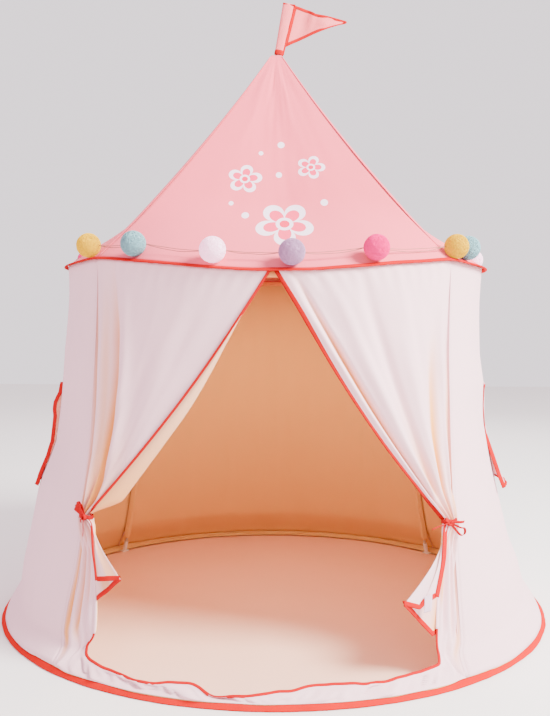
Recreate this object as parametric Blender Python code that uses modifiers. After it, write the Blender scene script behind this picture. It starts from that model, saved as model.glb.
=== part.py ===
"""Round kids play tent, 1.2 m across and 1.35 m high, standing on the floor with its doorway towards -Y.

Four fibreglass poles lean in from a hoop at the foot to a hoop at the eave, and four more run on to a
hub under the flag. The skin hangs on them: a roof that is flat between its ridges and flares out over
the eave hoop, a wall with a waist, two curtains gathered at the front poles, and a floor.

Angles run round the vertical axis from the middle of the doorway, and grow towards +X.
"""

import math

import bmesh
import bpy
from mathutils import Matrix, Vector

# The main form
FOOT_RADIUS = 0.568
FOOT_BAND_WIDTH = 0.032
EAVE_RADIUS = 0.4575
EAVE_HEIGHT = 0.748
ROOF_HEIGHT = 0.482
ROOF_TOP_RADIUS = 0.014
BASE_RADIUS = FOOT_RADIUS + FOOT_BAND_WIDTH
APEX_HEIGHT = EAVE_HEIGHT + ROOF_HEIGHT
WALL_WAIST = 0.030
RIDGE_BOW = 0.016
DOOR_DIP = 0.026
FLARE_SHARE = 0.30
FRONT_POLE_ANGLE = math.radians(48)
BACK_POLE_ANGLE = math.pi - FRONT_POLE_ANGLE
FRONT_FOOT_ANGLES = {"left": math.radians(43.5), "right": math.radians(37.5)}
SPLAY_POWER = 1.5
RING_SIDES = 60
RING_STEP = 2 * math.pi / RING_SIDES
HOOP_STEP = math.radians(10.5)
SLOPE_STEP = math.radians(0.5)
SLOPE_STEP_SHARE = 0.01

# Cloth and clearances
CLOTH = 0.001
GAP = 0.0003
SEAM_GAP = 0.0008
SEAM_ANGLE = math.radians(0.12)

# Poles, hoops and the sockets that hold them
POLE_RADIUS = 0.0035
HOOP_ROD_RADIUS = 0.0030
SOCKET_WALL = 0.0018
SOCKET_DEPTH = 0.022
SOCKET_FLOOR = 0.009
KNUCKLE_RADIUS = 0.0076
KNUCKLE_SIDES = 10
KNUCKLE_RINGS = 6
CONNECTOR_SIDES = 8
POLE_INSET = 0.0090
ROOF_POLE_INSET = 0.0130
EAVE_FRAME_INSET = 0.0095
EAVE_FRAME_DROP = 0.0080
FOOT_HOOP_INSET = 0.0120
FOOT_WEB_WIDTH = 0.020
FOOT_WEB_THICKNESS = 0.0036
ROD_STRAIGHT_RUN = 0.012
WALL_POLE_SHARES = (0.12, 0.25, 0.4, 0.55, 0.7, 0.85)
ROOF_POLE_SHARES = (0.12, 0.25, 0.4, 0.55, 0.7, 0.84)

# The hub under the flag, and the mast that stands in it
HUB_DROP = 0.025
HUB_HEIGHT = APEX_HEIGHT - HUB_DROP
HUB_RADIUS = 0.0095
HUB_LENGTH = 0.030
MAST_LEAN = math.radians(10)
MAST_LENGTH = 0.137
MAST_SOCKET_DEPTH = 0.015
MAST_SOCKET_FLOOR = 0.003

# The flag: a flat sleeve round the mast, and a pennant sewn to its edge
FLAG_SLEEVE_START = 0.0285
FLAG_SLEEVE_LENGTH = 0.1155
FLAG_SLEEVE_HALF_WIDTH = 0.0105
PENNANT_LENGTH = 0.133
PENNANT_HEIGHT = 0.093
PENNANT_THICKNESS = 0.0014
PENNANT_SHARES = ((0.0, 0.0), (0.24, 0.31), (1.0, 0.85), (0.42, 0.86), (0.28, 0.96), (0.0, 1.0))
SLEEVE_SIDES = 12

# The coral sleeve that lies round the foot, over the hoop
SLEEVE_MOUTH = 0.0060
SLEEVE_SLACK = 0.0006

# The coral tape that stands out along the eave
EAVE_TAPE_WIDTH = 0.0100
EAVE_TAPE_HALF_HEIGHT = 0.0045
EAVE_TAPE_THICKNESS = 0.0036

# The doorway
SILL_HEIGHT = 0.030
STRIP_HEIGHT = 0.185
SILL_CORNER_START = math.radians(33)
SILL_CORNER_END = math.radians(40)
DOOR_TAPE_RADIUS = 0.0019

# The curtains
CURTAIN_TOP_STANDOFF = 0.005
CURTAIN_TOP_RADIUS = EAVE_RADIUS + CURTAIN_TOP_STANDOFF
CURTAIN_TOP_DROP = EAVE_TAPE_HALF_HEIGHT + GAP
CURTAIN_SEAM_ANGLE = math.radians(47.4)
CURTAIN_MEETING_ANGLE = math.radians(0.4)
CURTAIN_STANDOFF = 0.003
TIE_HEIGHT = 0.262
TIE_NECK = 0.016
TIE_OUTER_ANGLE = math.radians(47.0)
TIE_INNER_ANGLE = math.radians(41.6)
HEM_OUTER_ANGLE = math.radians(47.3)
HEM_INNER_ANGLE = math.radians(34.0)
HEM_OUTER_HEIGHT = 0.085
HEM_INNER_HEIGHT = 0.155
HEM_STANDOFF = 0.017
CURTAIN_FOLDS = 4
FOLD_TOP = 0.0015
FOLD_BELLY = 0.0080
FOLD_TIE = 0.0058
FOLD_HEM = 0.0070
CURTAIN_SAG_SHARES = {"left": 0.080, "right": 0.055}
SAG_POWER = 3
SAG_LOWNESS = 1.3

# The ribbons that tie the curtains
RIBBON_WIDTH = 0.010
RIBBON_THICKNESS = 0.0012
KNOT_RADIUS = 0.0055
BAND_EASE = 0.0015
BOW_SIZE = 0.019
BAND_SIDES = 12
KNOT_SIDES = 8
KNOT_RINGS = 5
KNOT_SEAT_SHARE = 0.7
BOW_WIDTH_SHARE = 0.7

# Along the curtain, up and outward from the knot, in shares of the bow's size
BOW_LOOP_SHARES = (
    (0.05, 0.10, 0), (0.75, 0.50, 0.10), (1.20, 0.48, 0.15),
    (1.30, 0.10, 0.15), (0.90, -0.18, 0.10), (0.05, -0.08, 0),
)
BOW_TAIL_SHARES = ((0.05, -0.12, 0.10), (0.42, -0.80, 0.60), (0.55, -1.45, 0.75))

# The windows and the flaps that cover them
WINDOW_HALF_ANGLE = math.radians(12)
SPLAY_END_ANGLE = math.pi / 2 - WINDOW_HALF_ANGLE
WINDOW_BOTTOM = 0.300
WINDOW_TOP = 0.485
NET_THICKNESS = 0.0006
FLAP_HALF_ANGLE = math.radians(15)
FLAP_BOTTOM = 0.280
FLAP_TOP = 0.500
FLAP_GAP = 0.0009
FLAP_BULGE = 0.011
FLAP_BULGE_START_SHARE = 0.16
FLAP_BULGE_POWER = 0.7

# The string of balls that lies on the roof's lower edge
BALL_RADIUS = 0.024
WIRE_RADIUS = 0.0009
WIRE_LIFT = 0.004
BALL_SEAT_SHARE = 0.005
SEAT_STEP_SHARE = 0.002
BALL_SIDES = 10
BALL_RINGS = 6
WIRE_END_SHARE = 0.7
WIRE_RISE_SHARE = 1.7
WIRE_SAG_SHARE = 0.35

# Each ball's place round the tent in degrees, with its colour
GARLAND = (
    (-102, "pink"), (-51, "yellow"), (-33.8, "blue"), (-13.3, "white"), (4.1, "grey"),
    (23.5, "pink"), (49.1, "yellow"), (55.8, "blue"), (96, "white"), (117, "pink"),
)

COLOURS = {
    "pink_cloth": ((0.86, 0.50, 0.53), 0.85, 0.0),
    "white_cloth": ((0.80, 0.74, 0.71), 0.9, 0.0),
    "coral_cloth": ((0.83, 0.13, 0.10), 0.8, 0.0),
    "net": ((0.85, 0.82, 0.80), 0.9, 0.0),
    "fibreglass": ((0.72, 0.70, 0.66), 0.35, 0.0),
    "connector_plastic": ((0.80, 0.80, 0.80), 0.45, 0.0),
    "wire": ((0.65, 0.45, 0.30), 0.3, 0.8),
    "ball_yellow": ((0.83, 0.67, 0.06), 0.7, 0.0),
    "ball_blue": ((0.38, 0.72, 0.70), 0.7, 0.0),
    "ball_white": ((0.85, 0.80, 0.76), 0.7, 0.0),
    "ball_grey": ((0.42, 0.36, 0.42), 0.7, 0.0),
    "ball_pink": ((0.75, 0.03, 0.20), 0.7, 0.0),
}

SIDES = {"left": -1, "right": 1}
POLES = {
    "front_left": -FRONT_POLE_ANGLE,
    "front_right": FRONT_POLE_ANGLE,
    "back_right": BACK_POLE_ANGLE,
    "back_left": -BACK_POLE_ANGLE,
}
PANELS = {
    "front": (-FRONT_POLE_ANGLE, FRONT_POLE_ANGLE),
    "right": (FRONT_POLE_ANGLE, BACK_POLE_ANGLE),
    "back": (BACK_POLE_ANGLE, 2 * math.pi - BACK_POLE_ANGLE),
    "left": (-BACK_POLE_ANGLE, -FRONT_POLE_ANGLE),
}


def mix(start, end, share):
    return start + (end - start) * share


def smooth(share):
    """Eases from 0 to 1, level at both ends."""
    share = min(max(share, 0), 1)
    return share * share * (3 - 2 * share)


def spread(stops, counts):
    """Values from stop to stop, each stretch split into its own number of equal steps."""
    values = [stops[0]]
    for start, end, count in zip(stops, stops[1:], counts):
        values += [mix(start, end, (step + 1) / count) for step in range(count)]
    return values


def around(angle, radius, height):
    """The point at this angle from the doorway's middle, this far from the axis."""
    return Vector((radius * math.sin(angle), -radius * math.cos(angle), height))


# The surfaces that the cloth follows

def wall_radius(height):
    share = height / EAVE_HEIGHT
    return mix(FOOT_RADIUS, EAVE_RADIUS, share) - WALL_WAIST * 4 * share * (1 - share)


def splayed(angle, height):
    """The front poles lean in towards the doorway's foot, and take the cloth out to the windows along."""
    size = abs(math.remainder(angle, 2 * math.pi))
    side = "left" if math.remainder(angle, 2 * math.pi) < 0 else "right"
    lean = (FRONT_POLE_ANGLE - FRONT_FOOT_ANGLES[side]) * max(1 - height / EAVE_HEIGHT, 0) ** SPLAY_POWER
    if size <= FRONT_POLE_ANGLE:
        share = size / FRONT_POLE_ANGLE
    else:
        share = max((SPLAY_END_ANGLE - size) / (SPLAY_END_ANGLE - FRONT_POLE_ANGLE), 0)
    return angle - SIDES[side] * lean * share


def eave_height(angle):
    """The eave hoop dips over the doorway, where the curtains hang on it."""
    angle = math.remainder(angle, 2 * math.pi)
    if abs(angle) >= FRONT_POLE_ANGLE:
        return EAVE_HEIGHT
    return EAVE_HEIGHT - DOOR_DIP * (1 + math.cos(math.pi * angle / FRONT_POLE_ANGLE)) / 2


def ridge_radius(share):
    return mix(EAVE_RADIUS, ROOF_TOP_RADIUS, share) - RIDGE_BOW * 4 * share * (1 - share)


def panel_of(angle):
    """The two pole angles that this angle lies between."""
    for start, end in PANELS.values():
        for turn in (-2 * math.pi, 0, 2 * math.pi):
            if start <= angle + turn <= end:
                return start - turn, end - turn
    raise ValueError(angle)


def roof_point(angle, share):
    """From the eave, share 0, to the hub, share 1: round over the hoop, and flat between ridges above."""
    start, end = panel_of(angle)
    low = eave_height(angle) + SEAM_GAP
    ridge = ridge_radius(share)
    flat = ridge * math.cos((end - start) / 2) / math.cos(angle - (start + end) / 2)
    roundness = 1 - smooth(share / FLARE_SHARE)
    return around(angle, mix(flat, ridge, roundness), mix(low, APEX_HEIGHT, share))


def roof_normal(angle, share):
    here = roof_point(angle, share)
    along = roof_point(angle + SLOPE_STEP, share) - roof_point(angle - SLOPE_STEP, share)
    up = roof_point(angle, share + SLOPE_STEP_SHARE) - here
    return along.cross(up).normalized()


# Scene, materials and mesh helpers

def start_scene():
    for item in list(bpy.data.objects):
        bpy.data.objects.remove(item, do_unlink=True)
    group = bpy.data.collections.new("play_tent")
    bpy.context.scene.collection.children.link(group)
    return group


def make_material(name):
    colour, roughness, metallic = COLOURS[name]
    made = bpy.data.materials.new(name)
    made.use_nodes = True
    shader = made.node_tree.nodes["Principled BSDF"]
    shader.inputs["Base Color"].default_value = (*colour, 1)
    shader.inputs["Roughness"].default_value = roughness
    shader.inputs["Metallic"].default_value = metallic
    made.diffuse_color = (*colour, 1)
    return made


TENT = start_scene()
MATERIALS = {name: make_material(name) for name in COLOURS}


def add_object(name, data, material, parent=None):
    data.name = name
    data.materials.append(MATERIALS[material])
    made = bpy.data.objects.new(name, data)
    TENT.objects.link(made)
    if parent:
        made.parent = parent
        made.matrix_parent_inverse = parent.matrix_world.inverted()
    return made


def finish_mesh(name, shape, sharp=None):
    made = bpy.data.meshes.new(name)
    shape.to_mesh(made)
    shape.free()
    made.shade_smooth()
    if sharp:
        made.set_sharp_from_angle(angle=sharp)
    return made


def add_sheet(name, columns, rows, place, material, thickness=CLOTH, hole=None, parent=None):
    """Cloth on a grid: place(column value, row value) gives each point, and Solidify its thickness."""
    shape = bmesh.new()
    bmesh.ops.create_grid(shape, x_segments=len(columns) - 1, y_segments=len(rows) - 1, size=1)
    across, down = len(columns) - 1, len(rows) - 1
    if hole:
        def inside(face):
            middle = face.calc_center_median()
            column = mix(columns[0], columns[-1], (middle.x + 1) / 2)
            row_index = int((middle.y + 1) / 2 * down)
            row = (rows[row_index] + rows[row_index + 1]) / 2
            return hole[0] < column < hole[1] and hole[2] < row < hole[3]
        bmesh.ops.delete(shape, geom=[face for face in shape.faces if inside(face)], context="FACES")
    for vertex in shape.verts:
        column = columns[round((vertex.co.x + 1) / 2 * across)]
        row = rows[round((vertex.co.y + 1) / 2 * down)]
        vertex.co = place(column, row)
    made = add_object(name, finish_mesh(name, shape), material, parent)
    thicken(made, thickness)
    return made


def thicken(made, thickness):
    """Gives a surface this thickness, half of it on each side."""
    shell = made.modifiers.new("Thickness", "SOLIDIFY")
    shell.thickness = thickness
    shell.offset = 0
    shell.use_even_offset = True


def add_tube(name, points, radius, material, resolution=1):
    """A rod along the points."""
    curve = bpy.data.curves.new(name, "CURVE")
    curve.dimensions = "3D"
    curve.bevel_depth = radius
    curve.bevel_resolution = resolution
    curve.use_fill_caps = True
    spline = curve.splines.new("POLY")
    spline.points.add(len(points) - 1)
    for point, place in zip(spline.points, points):
        point.co = (*place, 1)
    return add_object(name, curve, material)


def cylinder(start, end, radius, sides=CONNECTOR_SIDES):
    """A closed cylinder from start to end, as an object outside the tent's collection."""
    axis = Vector(end) - Vector(start)
    turn = axis.to_track_quat("Z", "Y").to_matrix().to_4x4()
    shape = bmesh.new()
    bmesh.ops.create_cone(
        shape, cap_ends=True, segments=sides, radius1=radius, radius2=radius, depth=axis.length,
        matrix=Matrix.Translation((Vector(start) + Vector(end)) / 2) @ turn,
    )
    return loose_object(shape)


def ball(centre, radius, sides, rings):
    shape = bmesh.new()
    bmesh.ops.create_uvsphere(shape, u_segments=sides, v_segments=rings, radius=radius,
                              matrix=Matrix.Translation(centre))
    return loose_object(shape)


def box(low, high):
    shape = bmesh.new()
    middle = (Vector(low) + Vector(high)) / 2
    size = Vector(high) - Vector(low)
    bmesh.ops.create_cube(shape, size=1, matrix=Matrix.Translation(middle) @ Matrix.Diagonal((*size, 1)))
    return loose_object(shape)


def loose_object(shape):
    made = bpy.data.objects.new("operand", finish_mesh("operand", shape))
    bpy.context.scene.collection.objects.link(made)
    return made


def fused(name, solids, cuts):
    """One mesh of all the solids joined, with the cuts taken out."""
    body = solids[0]
    for operation, others in (("UNION", solids[1:]), ("DIFFERENCE", cuts)):
        for other in others:
            step = body.modifiers.new(operation, "BOOLEAN")
            step.operation = operation
            step.solver = "EXACT"
            step.object = other
    graph = bpy.context.evaluated_depsgraph_get()
    made = bpy.data.meshes.new_from_object(body.evaluated_get(graph))
    made.name = name
    for used in solids + cuts:
        bpy.data.objects.remove(used, do_unlink=True)
    return made


# The frame

def bore_radius(rod_radius):
    """A many-sided bore whose flats clear the rod."""
    return (rod_radius + GAP) / math.cos(math.pi / CONNECTOR_SIDES)


def socket(centre, direction, rod_radius, root):
    """The arm that takes a rod: its outside, starting this far from the centre, and the hole cut in it."""
    direction = direction.normalized()
    end = centre + direction * (SOCKET_FLOOR + SOCKET_DEPTH)
    outside = cylinder(centre + direction * root, end, rod_radius + SOCKET_WALL)
    hole = cylinder(centre + direction * SOCKET_FLOOR, end + direction * SOCKET_WALL, bore_radius(rod_radius))
    return outside, hole


def eave_frame_height(angle):
    return eave_height(angle) - EAVE_FRAME_DROP


EAVE_FRAME_RADIUS = EAVE_RADIUS - EAVE_FRAME_INSET
FOOT_HOOP_RADIUS = BASE_RADIUS - FOOT_HOOP_INSET
FOOT_HOOP_HEIGHT = CLOTH + GAP + HOOP_ROD_RADIUS + SOCKET_WALL
TANGENT = Vector((1, 0, 0))


def wall_pole_point(angle, height, turn):
    """On the pole that meets the eave at this angle, with the whole tent turned back by another."""
    return around(splayed(angle, height) - turn, wall_radius(height) - POLE_INSET, height)


def roof_pole_point(share):
    """On a ridge at angle 0, under the skin by the poles' inset."""
    further = share + SLOPE_STEP_SHARE
    here = Vector((ridge_radius(share), mix(EAVE_HEIGHT, APEX_HEIGHT, share)))
    ahead = Vector((ridge_radius(further), mix(EAVE_HEIGHT, APEX_HEIGHT, further)))
    along = (ahead - here).normalized()
    return around(0, here.x - ROOF_POLE_INSET * along.y, here.y + ROOF_POLE_INSET * along.x)


EAVE_NODE = around(0, EAVE_FRAME_RADIUS, EAVE_HEIGHT - EAVE_FRAME_DROP)
HUB_NODE = Vector((0, 0, HUB_HEIGHT))
FOOT_NODE_HEIGHT = CLOTH + GAP
FOOT_NODE = around(0, wall_radius(FOOT_NODE_HEIGHT) - POLE_INSET, FOOT_NODE_HEIGHT)


def pole_points(start, end, between):
    """From socket to socket: straight inside each socket, and through the points between them."""
    first = (between[0] - start).normalized()
    last = (between[-1] - end).normalized()
    depth = SOCKET_FLOOR + GAP
    reach = SOCKET_FLOOR + SOCKET_DEPTH + ROD_STRAIGHT_RUN
    ends = [start + first * depth, start + first * reach]
    return ends + list(between) + [end + last * reach, end + last * depth]


def wall_pole_between(angle, turn):
    heights = [mix(FOOT_NODE.z, EAVE_NODE.z, share) for share in WALL_POLE_SHARES]
    return [wall_pole_point(angle, height, turn) for height in heights]


def roof_pole_between():
    return [roof_pole_point(share) for share in ROOF_POLE_SHARES]


def hoop_points(start, end, radius, height):
    """A hoop rod from socket to socket: straight in the sockets, and round the circle between them."""
    depth = SOCKET_FLOOR + GAP
    reach = SOCKET_FLOOR + SOCKET_DEPTH
    points = []
    for angle, sense in ((start, 1), (end, -1)):
        here = around(angle, radius, height(angle))
        along = Matrix.Rotation(angle, 3, "Z") @ TANGENT * sense
        points.append([here + along * depth, here + along * reach])
    steps = round((end - start) / HOOP_STEP)
    middle = [mix(start, end, step / steps) for step in range(1, steps)]
    bend = [around(angle, radius, height(angle)) for angle in middle]
    return points[0] + bend + points[1][::-1]


def add_turned(name, mesh, angle, material):
    made = add_object(name, mesh, material)
    made.rotation_euler.z = angle
    return made


def hoop_tube(centre):
    """The straight tube that two hoop rods plug into, and its two holes."""
    reach = SOCKET_FLOOR + SOCKET_DEPTH
    outside = cylinder(centre - TANGENT * reach, centre + TANGENT * reach, HOOP_ROD_RADIUS + SOCKET_WALL)
    holes = []
    for sense in (-1, 1):
        start = centre + TANGENT * sense * SOCKET_FLOOR
        end = centre + TANGENT * sense * (reach + SOCKET_WALL)
        holes.append(cylinder(start, end, bore_radius(HOOP_ROD_RADIUS)))
    return outside, holes


def eave_connector_mesh(angle):
    """Two hoop rods, a wall pole and a roof pole meet in a knuckle."""
    tube, holes = hoop_tube(EAVE_NODE)
    root = SOCKET_FLOOR / 2
    toward = wall_pole_between(angle, angle)[-1] - EAVE_NODE
    wall_arm, wall_hole = socket(EAVE_NODE, toward, POLE_RADIUS, root)
    roof_arm, roof_hole = socket(EAVE_NODE, roof_pole_between()[0] - EAVE_NODE, POLE_RADIUS, root)
    knuckle = ball(EAVE_NODE, KNUCKLE_RADIUS, KNUCKLE_SIDES, KNUCKLE_RINGS)
    return fused("eave_connector", [knuckle, tube, wall_arm, roof_arm], holes + [wall_hole, roof_hole])


def foot_connector_mesh(angle):
    centre = around(0, FOOT_HOOP_RADIUS, FOOT_HOOP_HEIGHT)
    tube, holes = hoop_tube(centre)
    toward = wall_pole_between(angle, splayed(angle, FOOT_NODE_HEIGHT))[0] - FOOT_NODE
    upright, hole = socket(FOOT_NODE, toward, POLE_RADIUS, -SOCKET_FLOOR)
    low = Vector((-FOOT_WEB_WIDTH / 2, SOCKET_WALL - FOOT_HOOP_RADIUS, 0))
    inner = FOOT_NODE.y + POLE_RADIUS + SOCKET_WALL
    high = Vector((FOOT_WEB_WIDTH / 2, inner, CLOTH + GAP + FOOT_WEB_THICKNESS))
    trim = box(
        Vector((-FOOT_WEB_WIDTH, low.y - FOOT_WEB_WIDTH, -FOOT_WEB_WIDTH)),
        Vector((FOOT_WEB_WIDTH, high.y + FOOT_WEB_WIDTH, CLOTH + GAP)),
    )
    return fused("foot_connector", [tube, box(low, high), upright], holes + [hole, trim])


def mast_direction():
    return Vector((math.sin(MAST_LEAN), 0, math.cos(MAST_LEAN)))


def hub_mesh():
    solids = [cylinder(HUB_NODE - Vector((0, 0, HUB_LENGTH)), HUB_NODE, HUB_RADIUS)]
    cuts = []
    toward = roof_pole_between()[-1] - HUB_NODE
    for angle in POLES.values():
        arm, hole = socket(HUB_NODE, Matrix.Rotation(angle, 3, "Z") @ toward, POLE_RADIUS, SOCKET_FLOOR / 2)
        solids.append(arm)
        cuts.append(hole)
    along = mast_direction()
    top = HUB_NODE + along * (MAST_SOCKET_FLOOR + MAST_SOCKET_DEPTH)
    solids.append(cylinder(HUB_NODE - along * HUB_RADIUS, top, POLE_RADIUS + 2 * SOCKET_WALL))
    foot = HUB_NODE + along * MAST_SOCKET_FLOOR
    cuts.append(cylinder(foot, top + along * SOCKET_WALL, bore_radius(POLE_RADIUS)))
    return fused("apex_hub", solids, cuts)


def add_frame():
    roof_points = pole_points(EAVE_NODE, HUB_NODE, roof_pole_between())
    for name, angle in POLES.items():
        foot_angle = splayed(angle, FOOT_NODE_HEIGHT)
        foot = Matrix.Rotation(foot_angle, 3, "Z") @ FOOT_NODE
        eave = Matrix.Rotation(angle, 3, "Z") @ EAVE_NODE
        wall_points = pole_points(foot, eave, wall_pole_between(angle, 0))
        turned = [Matrix.Rotation(angle, 3, "Z") @ point for point in roof_points]
        add_turned(f"foot_connector_{name}", foot_connector_mesh(angle), foot_angle, "connector_plastic")
        add_turned(f"eave_connector_{name}", eave_connector_mesh(angle), angle, "connector_plastic")
        add_tube(f"wall_pole_{name}", wall_points, POLE_RADIUS, "fibreglass")
        add_tube(f"roof_pole_{name}", turned, POLE_RADIUS, "fibreglass")
    for name, (start, end) in PANELS.items():
        ends = [splayed(angle, FOOT_NODE_HEIGHT) for angle in (start, end)]
        foot = hoop_points(*ends, FOOT_HOOP_RADIUS, lambda angle: FOOT_HOOP_HEIGHT)
        eave = hoop_points(start, end, EAVE_FRAME_RADIUS, eave_frame_height)
        add_tube(f"foot_hoop_rod_{name}", foot, HOOP_ROD_RADIUS, "fibreglass")
        add_tube(f"eave_hoop_rod_{name}", eave, HOOP_ROD_RADIUS, "fibreglass")
    add_object("apex_hub", hub_mesh(), "connector_plastic")
    foot = HUB_NODE + mast_direction() * (MAST_SOCKET_FLOOR + GAP)
    add_tube("flag_mast", [foot, foot + mast_direction() * MAST_LENGTH], POLE_RADIUS, "fibreglass")


# The skin

def panel_columns(start, end):
    steps = round((end - start) / RING_STEP)
    return spread((start + SEAM_ANGLE, end - SEAM_ANGLE), (steps,))


def add_roof():
    """The rows crowd together over the flare, where the cloth turns, and the edges keep off the ridges."""
    rows = spread((0, FLARE_SHARE, 1), (5, 4))
    for name, (start, end) in PANELS.items():
        def place(across, share, start=start, end=end):
            seam = SEAM_GAP / ridge_radius(share)
            return roof_point(mix(start + seam, end - seam, across), share)

        columns = spread((0, 1), (round((end - start) / RING_STEP),))
        add_sheet(f"roof_panel_{name}", columns, rows, place, "pink_cloth")


def wall_foot_height():
    return CLOTH / 2 + SLEEVE_MOUTH + CLOTH / 2 + GAP


def wall_point(angle, height):
    return around(splayed(angle, height), wall_radius(height), height)


def add_walls():
    foot, top = wall_foot_height(), EAVE_HEIGHT - SEAM_GAP
    rows = spread((foot, WINDOW_BOTTOM, WINDOW_TOP, top), (3, 2, 3))
    for name in ("right", "back", "left"):
        start, end = PANELS[name]
        middle = (start + end) / 2
        window = (middle - WINDOW_HALF_ANGLE, middle + WINDOW_HALF_ANGLE, WINDOW_BOTTOM, WINDOW_TOP)
        hole = None if name == "back" else window
        add_sheet(f"wall_panel_{name}", panel_columns(start, end), rows, wall_point, "white_cloth", hole=hole)


def sill_top(angle):
    """The doorway's lower edge: a low sill that turns up beside each front pole."""
    turn = (abs(angle) - SILL_CORNER_START) / (SILL_CORNER_END - SILL_CORNER_START)
    return mix(SILL_HEIGHT, STRIP_HEIGHT, smooth(turn))


def sill_columns():
    start, end = PANELS["front"]
    corners = (SILL_CORNER_START, SILL_CORNER_END)
    stops = (start + SEAM_ANGLE, -corners[1], -corners[0], corners[0], corners[1], end - SEAM_ANGLE)
    return spread(stops, (2, 5, 10, 5, 2))


def door_edge_point(angle):
    """Beside the panel's edge, on the side of the opening, in the wall's surface."""
    rise = sill_top(angle + SLOPE_STEP) - sill_top(angle - SLOPE_STEP)
    run = 2 * SLOPE_STEP * wall_radius(sill_top(angle))
    aside = (DOOR_TAPE_RADIUS + SEAM_GAP) / math.hypot(rise, run)
    height = sill_top(angle) + run * aside
    return wall_point(angle - rise * aside / wall_radius(height), height)


def add_doorway():
    foot = wall_foot_height()

    def sill_point(angle, share):
        return wall_point(angle, mix(foot, sill_top(angle), share))

    columns = sill_columns()
    add_sheet("door_sill_panel", columns, spread((0, 1), (3,)), sill_point, "white_cloth")
    edge = [door_edge_point(angle) for angle in columns]
    add_tube("door_edge_tape", edge, DOOR_TAPE_RADIUS, "coral_cloth")


def add_ring(name, section, material, thickness=None, lift=None):
    """A section of (radius, height) points spun round the axis, and lifted by its angle's own amount.

    With a thickness the section is an open strip, made solid; without one it is a closed outline.
    """
    shape = bmesh.new()
    corners = [shape.verts.new(around(0, radius, height)) for radius, height in section]
    following = corners[1:] if thickness else corners[1:] + corners[:1]
    edges = [shape.edges.new(pair) for pair in zip(corners, following)]
    bmesh.ops.spin(
        shape, geom=corners + edges, cent=(0, 0, 0), axis=(0, 0, 1), angle=2 * math.pi,
        steps=RING_SIDES, use_merge=True,
    )
    if lift:
        for vertex in shape.verts:
            vertex.co.z += lift(math.atan2(vertex.co.x, -vertex.co.y))
    bmesh.ops.recalc_face_normals(shape, faces=shape.faces)
    made = add_object(name, finish_mesh(name, shape), material)
    if thickness:
        thicken(made, thickness)


def add_foot_sleeve():
    """Cloth folded over the foot hoop, open towards the inside, where the connectors' webs pass.

    The wall stands on the level lip that the fold ends in.
    """
    outer = BASE_RADIUS - CLOTH / 2
    low = CLOTH / 2
    crown = FOOT_HOOP_HEIGHT + HOOP_ROD_RADIUS + SOCKET_WALL + SLEEVE_SLACK + CLOTH / 2
    half = (crown - low) / 2
    section = [
        (FOOT_RADIUS - CLOTH, low),
        (outer - half, low),
        (outer, low + half),
        (outer - half, crown),
        (FOOT_HOOP_RADIUS - 2 * half, crown - CLOTH),
        (FOOT_RADIUS + CLOTH, low + SLEEVE_MOUTH),
        (wall_radius(wall_foot_height()) - CLOTH / 2, low + SLEEVE_MOUTH),
    ]
    add_ring("foot_sleeve", section, "coral_cloth", thickness=CLOTH)


def add_eave_tape():
    inner = EAVE_RADIUS + CLOTH / 2 + GAP
    half, thick = EAVE_TAPE_HALF_HEIGHT, EAVE_TAPE_THICKNESS
    section = [
        (inner, -half / 3),
        (inner, half),
        (inner + thick, half),
        (inner + EAVE_TAPE_WIDTH, thick - half),
        (inner + EAVE_TAPE_WIDTH, -half),
        (inner + EAVE_TAPE_WIDTH - thick, -half),
    ]
    add_ring("eave_tape", section, "coral_cloth", lift=eave_height)


def add_floor():
    radius = FOOT_RADIUS - CLOTH - GAP
    shape = bmesh.new()
    bmesh.ops.create_cone(
        shape, cap_ends=True, segments=RING_SIDES, radius1=radius, radius2=radius, depth=CLOTH,
        matrix=Matrix.Translation((0, 0, CLOTH / 2)),
    )
    add_object("floor_sheet", finish_mesh("floor_sheet", shape, sharp=RING_STEP * 2), "white_cloth")


# The curtains

def outward(point):
    return Vector((point.x, point.y, 0)).normalized()


def tie_point(angle, height):
    return around(splayed(angle, TIE_HEIGHT), wall_radius(TIE_HEIGHT) + CURTAIN_STANDOFF, height)


def curtain_upper(across, down, side):
    """From the eave to the tie: the seam strand follows the pole, and the free edge sags into the doorway."""
    angle = SIDES[side] * mix(CURTAIN_SEAM_ANGLE, CURTAIN_MEETING_ANGLE, across)
    top = around(angle, CURTAIN_TOP_RADIUS, eave_height(angle) - CURTAIN_TOP_DROP)
    tie_angle = SIDES[side] * mix(TIE_OUTER_ANGLE, TIE_INNER_ANGLE, across)
    tie = tie_point(tie_angle, TIE_HEIGHT + TIE_NECK / 2)
    swing = down - CURTAIN_SAG_SHARES[side] * across ** SAG_POWER * math.sin(math.pi * down ** SAG_LOWNESS)
    point = Vector((mix(top.x, tie.x, swing), mix(top.y, tie.y, swing), mix(top.z, tie.z, down)))
    hugged = wall_radius(point.z) + CURTAIN_STANDOFF
    at_top, at_tie = CURTAIN_TOP_RADIUS, wall_radius(TIE_HEIGHT) + CURTAIN_STANDOFF
    closer = min(hugged - mix(at_top, at_tie, down), 0) * (1 - across) ** 2
    fold = mix(FOLD_TOP, FOLD_TIE, down) + FOLD_BELLY * math.sin(math.pi * down)
    return point + outward(point) * closer, fold


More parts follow.
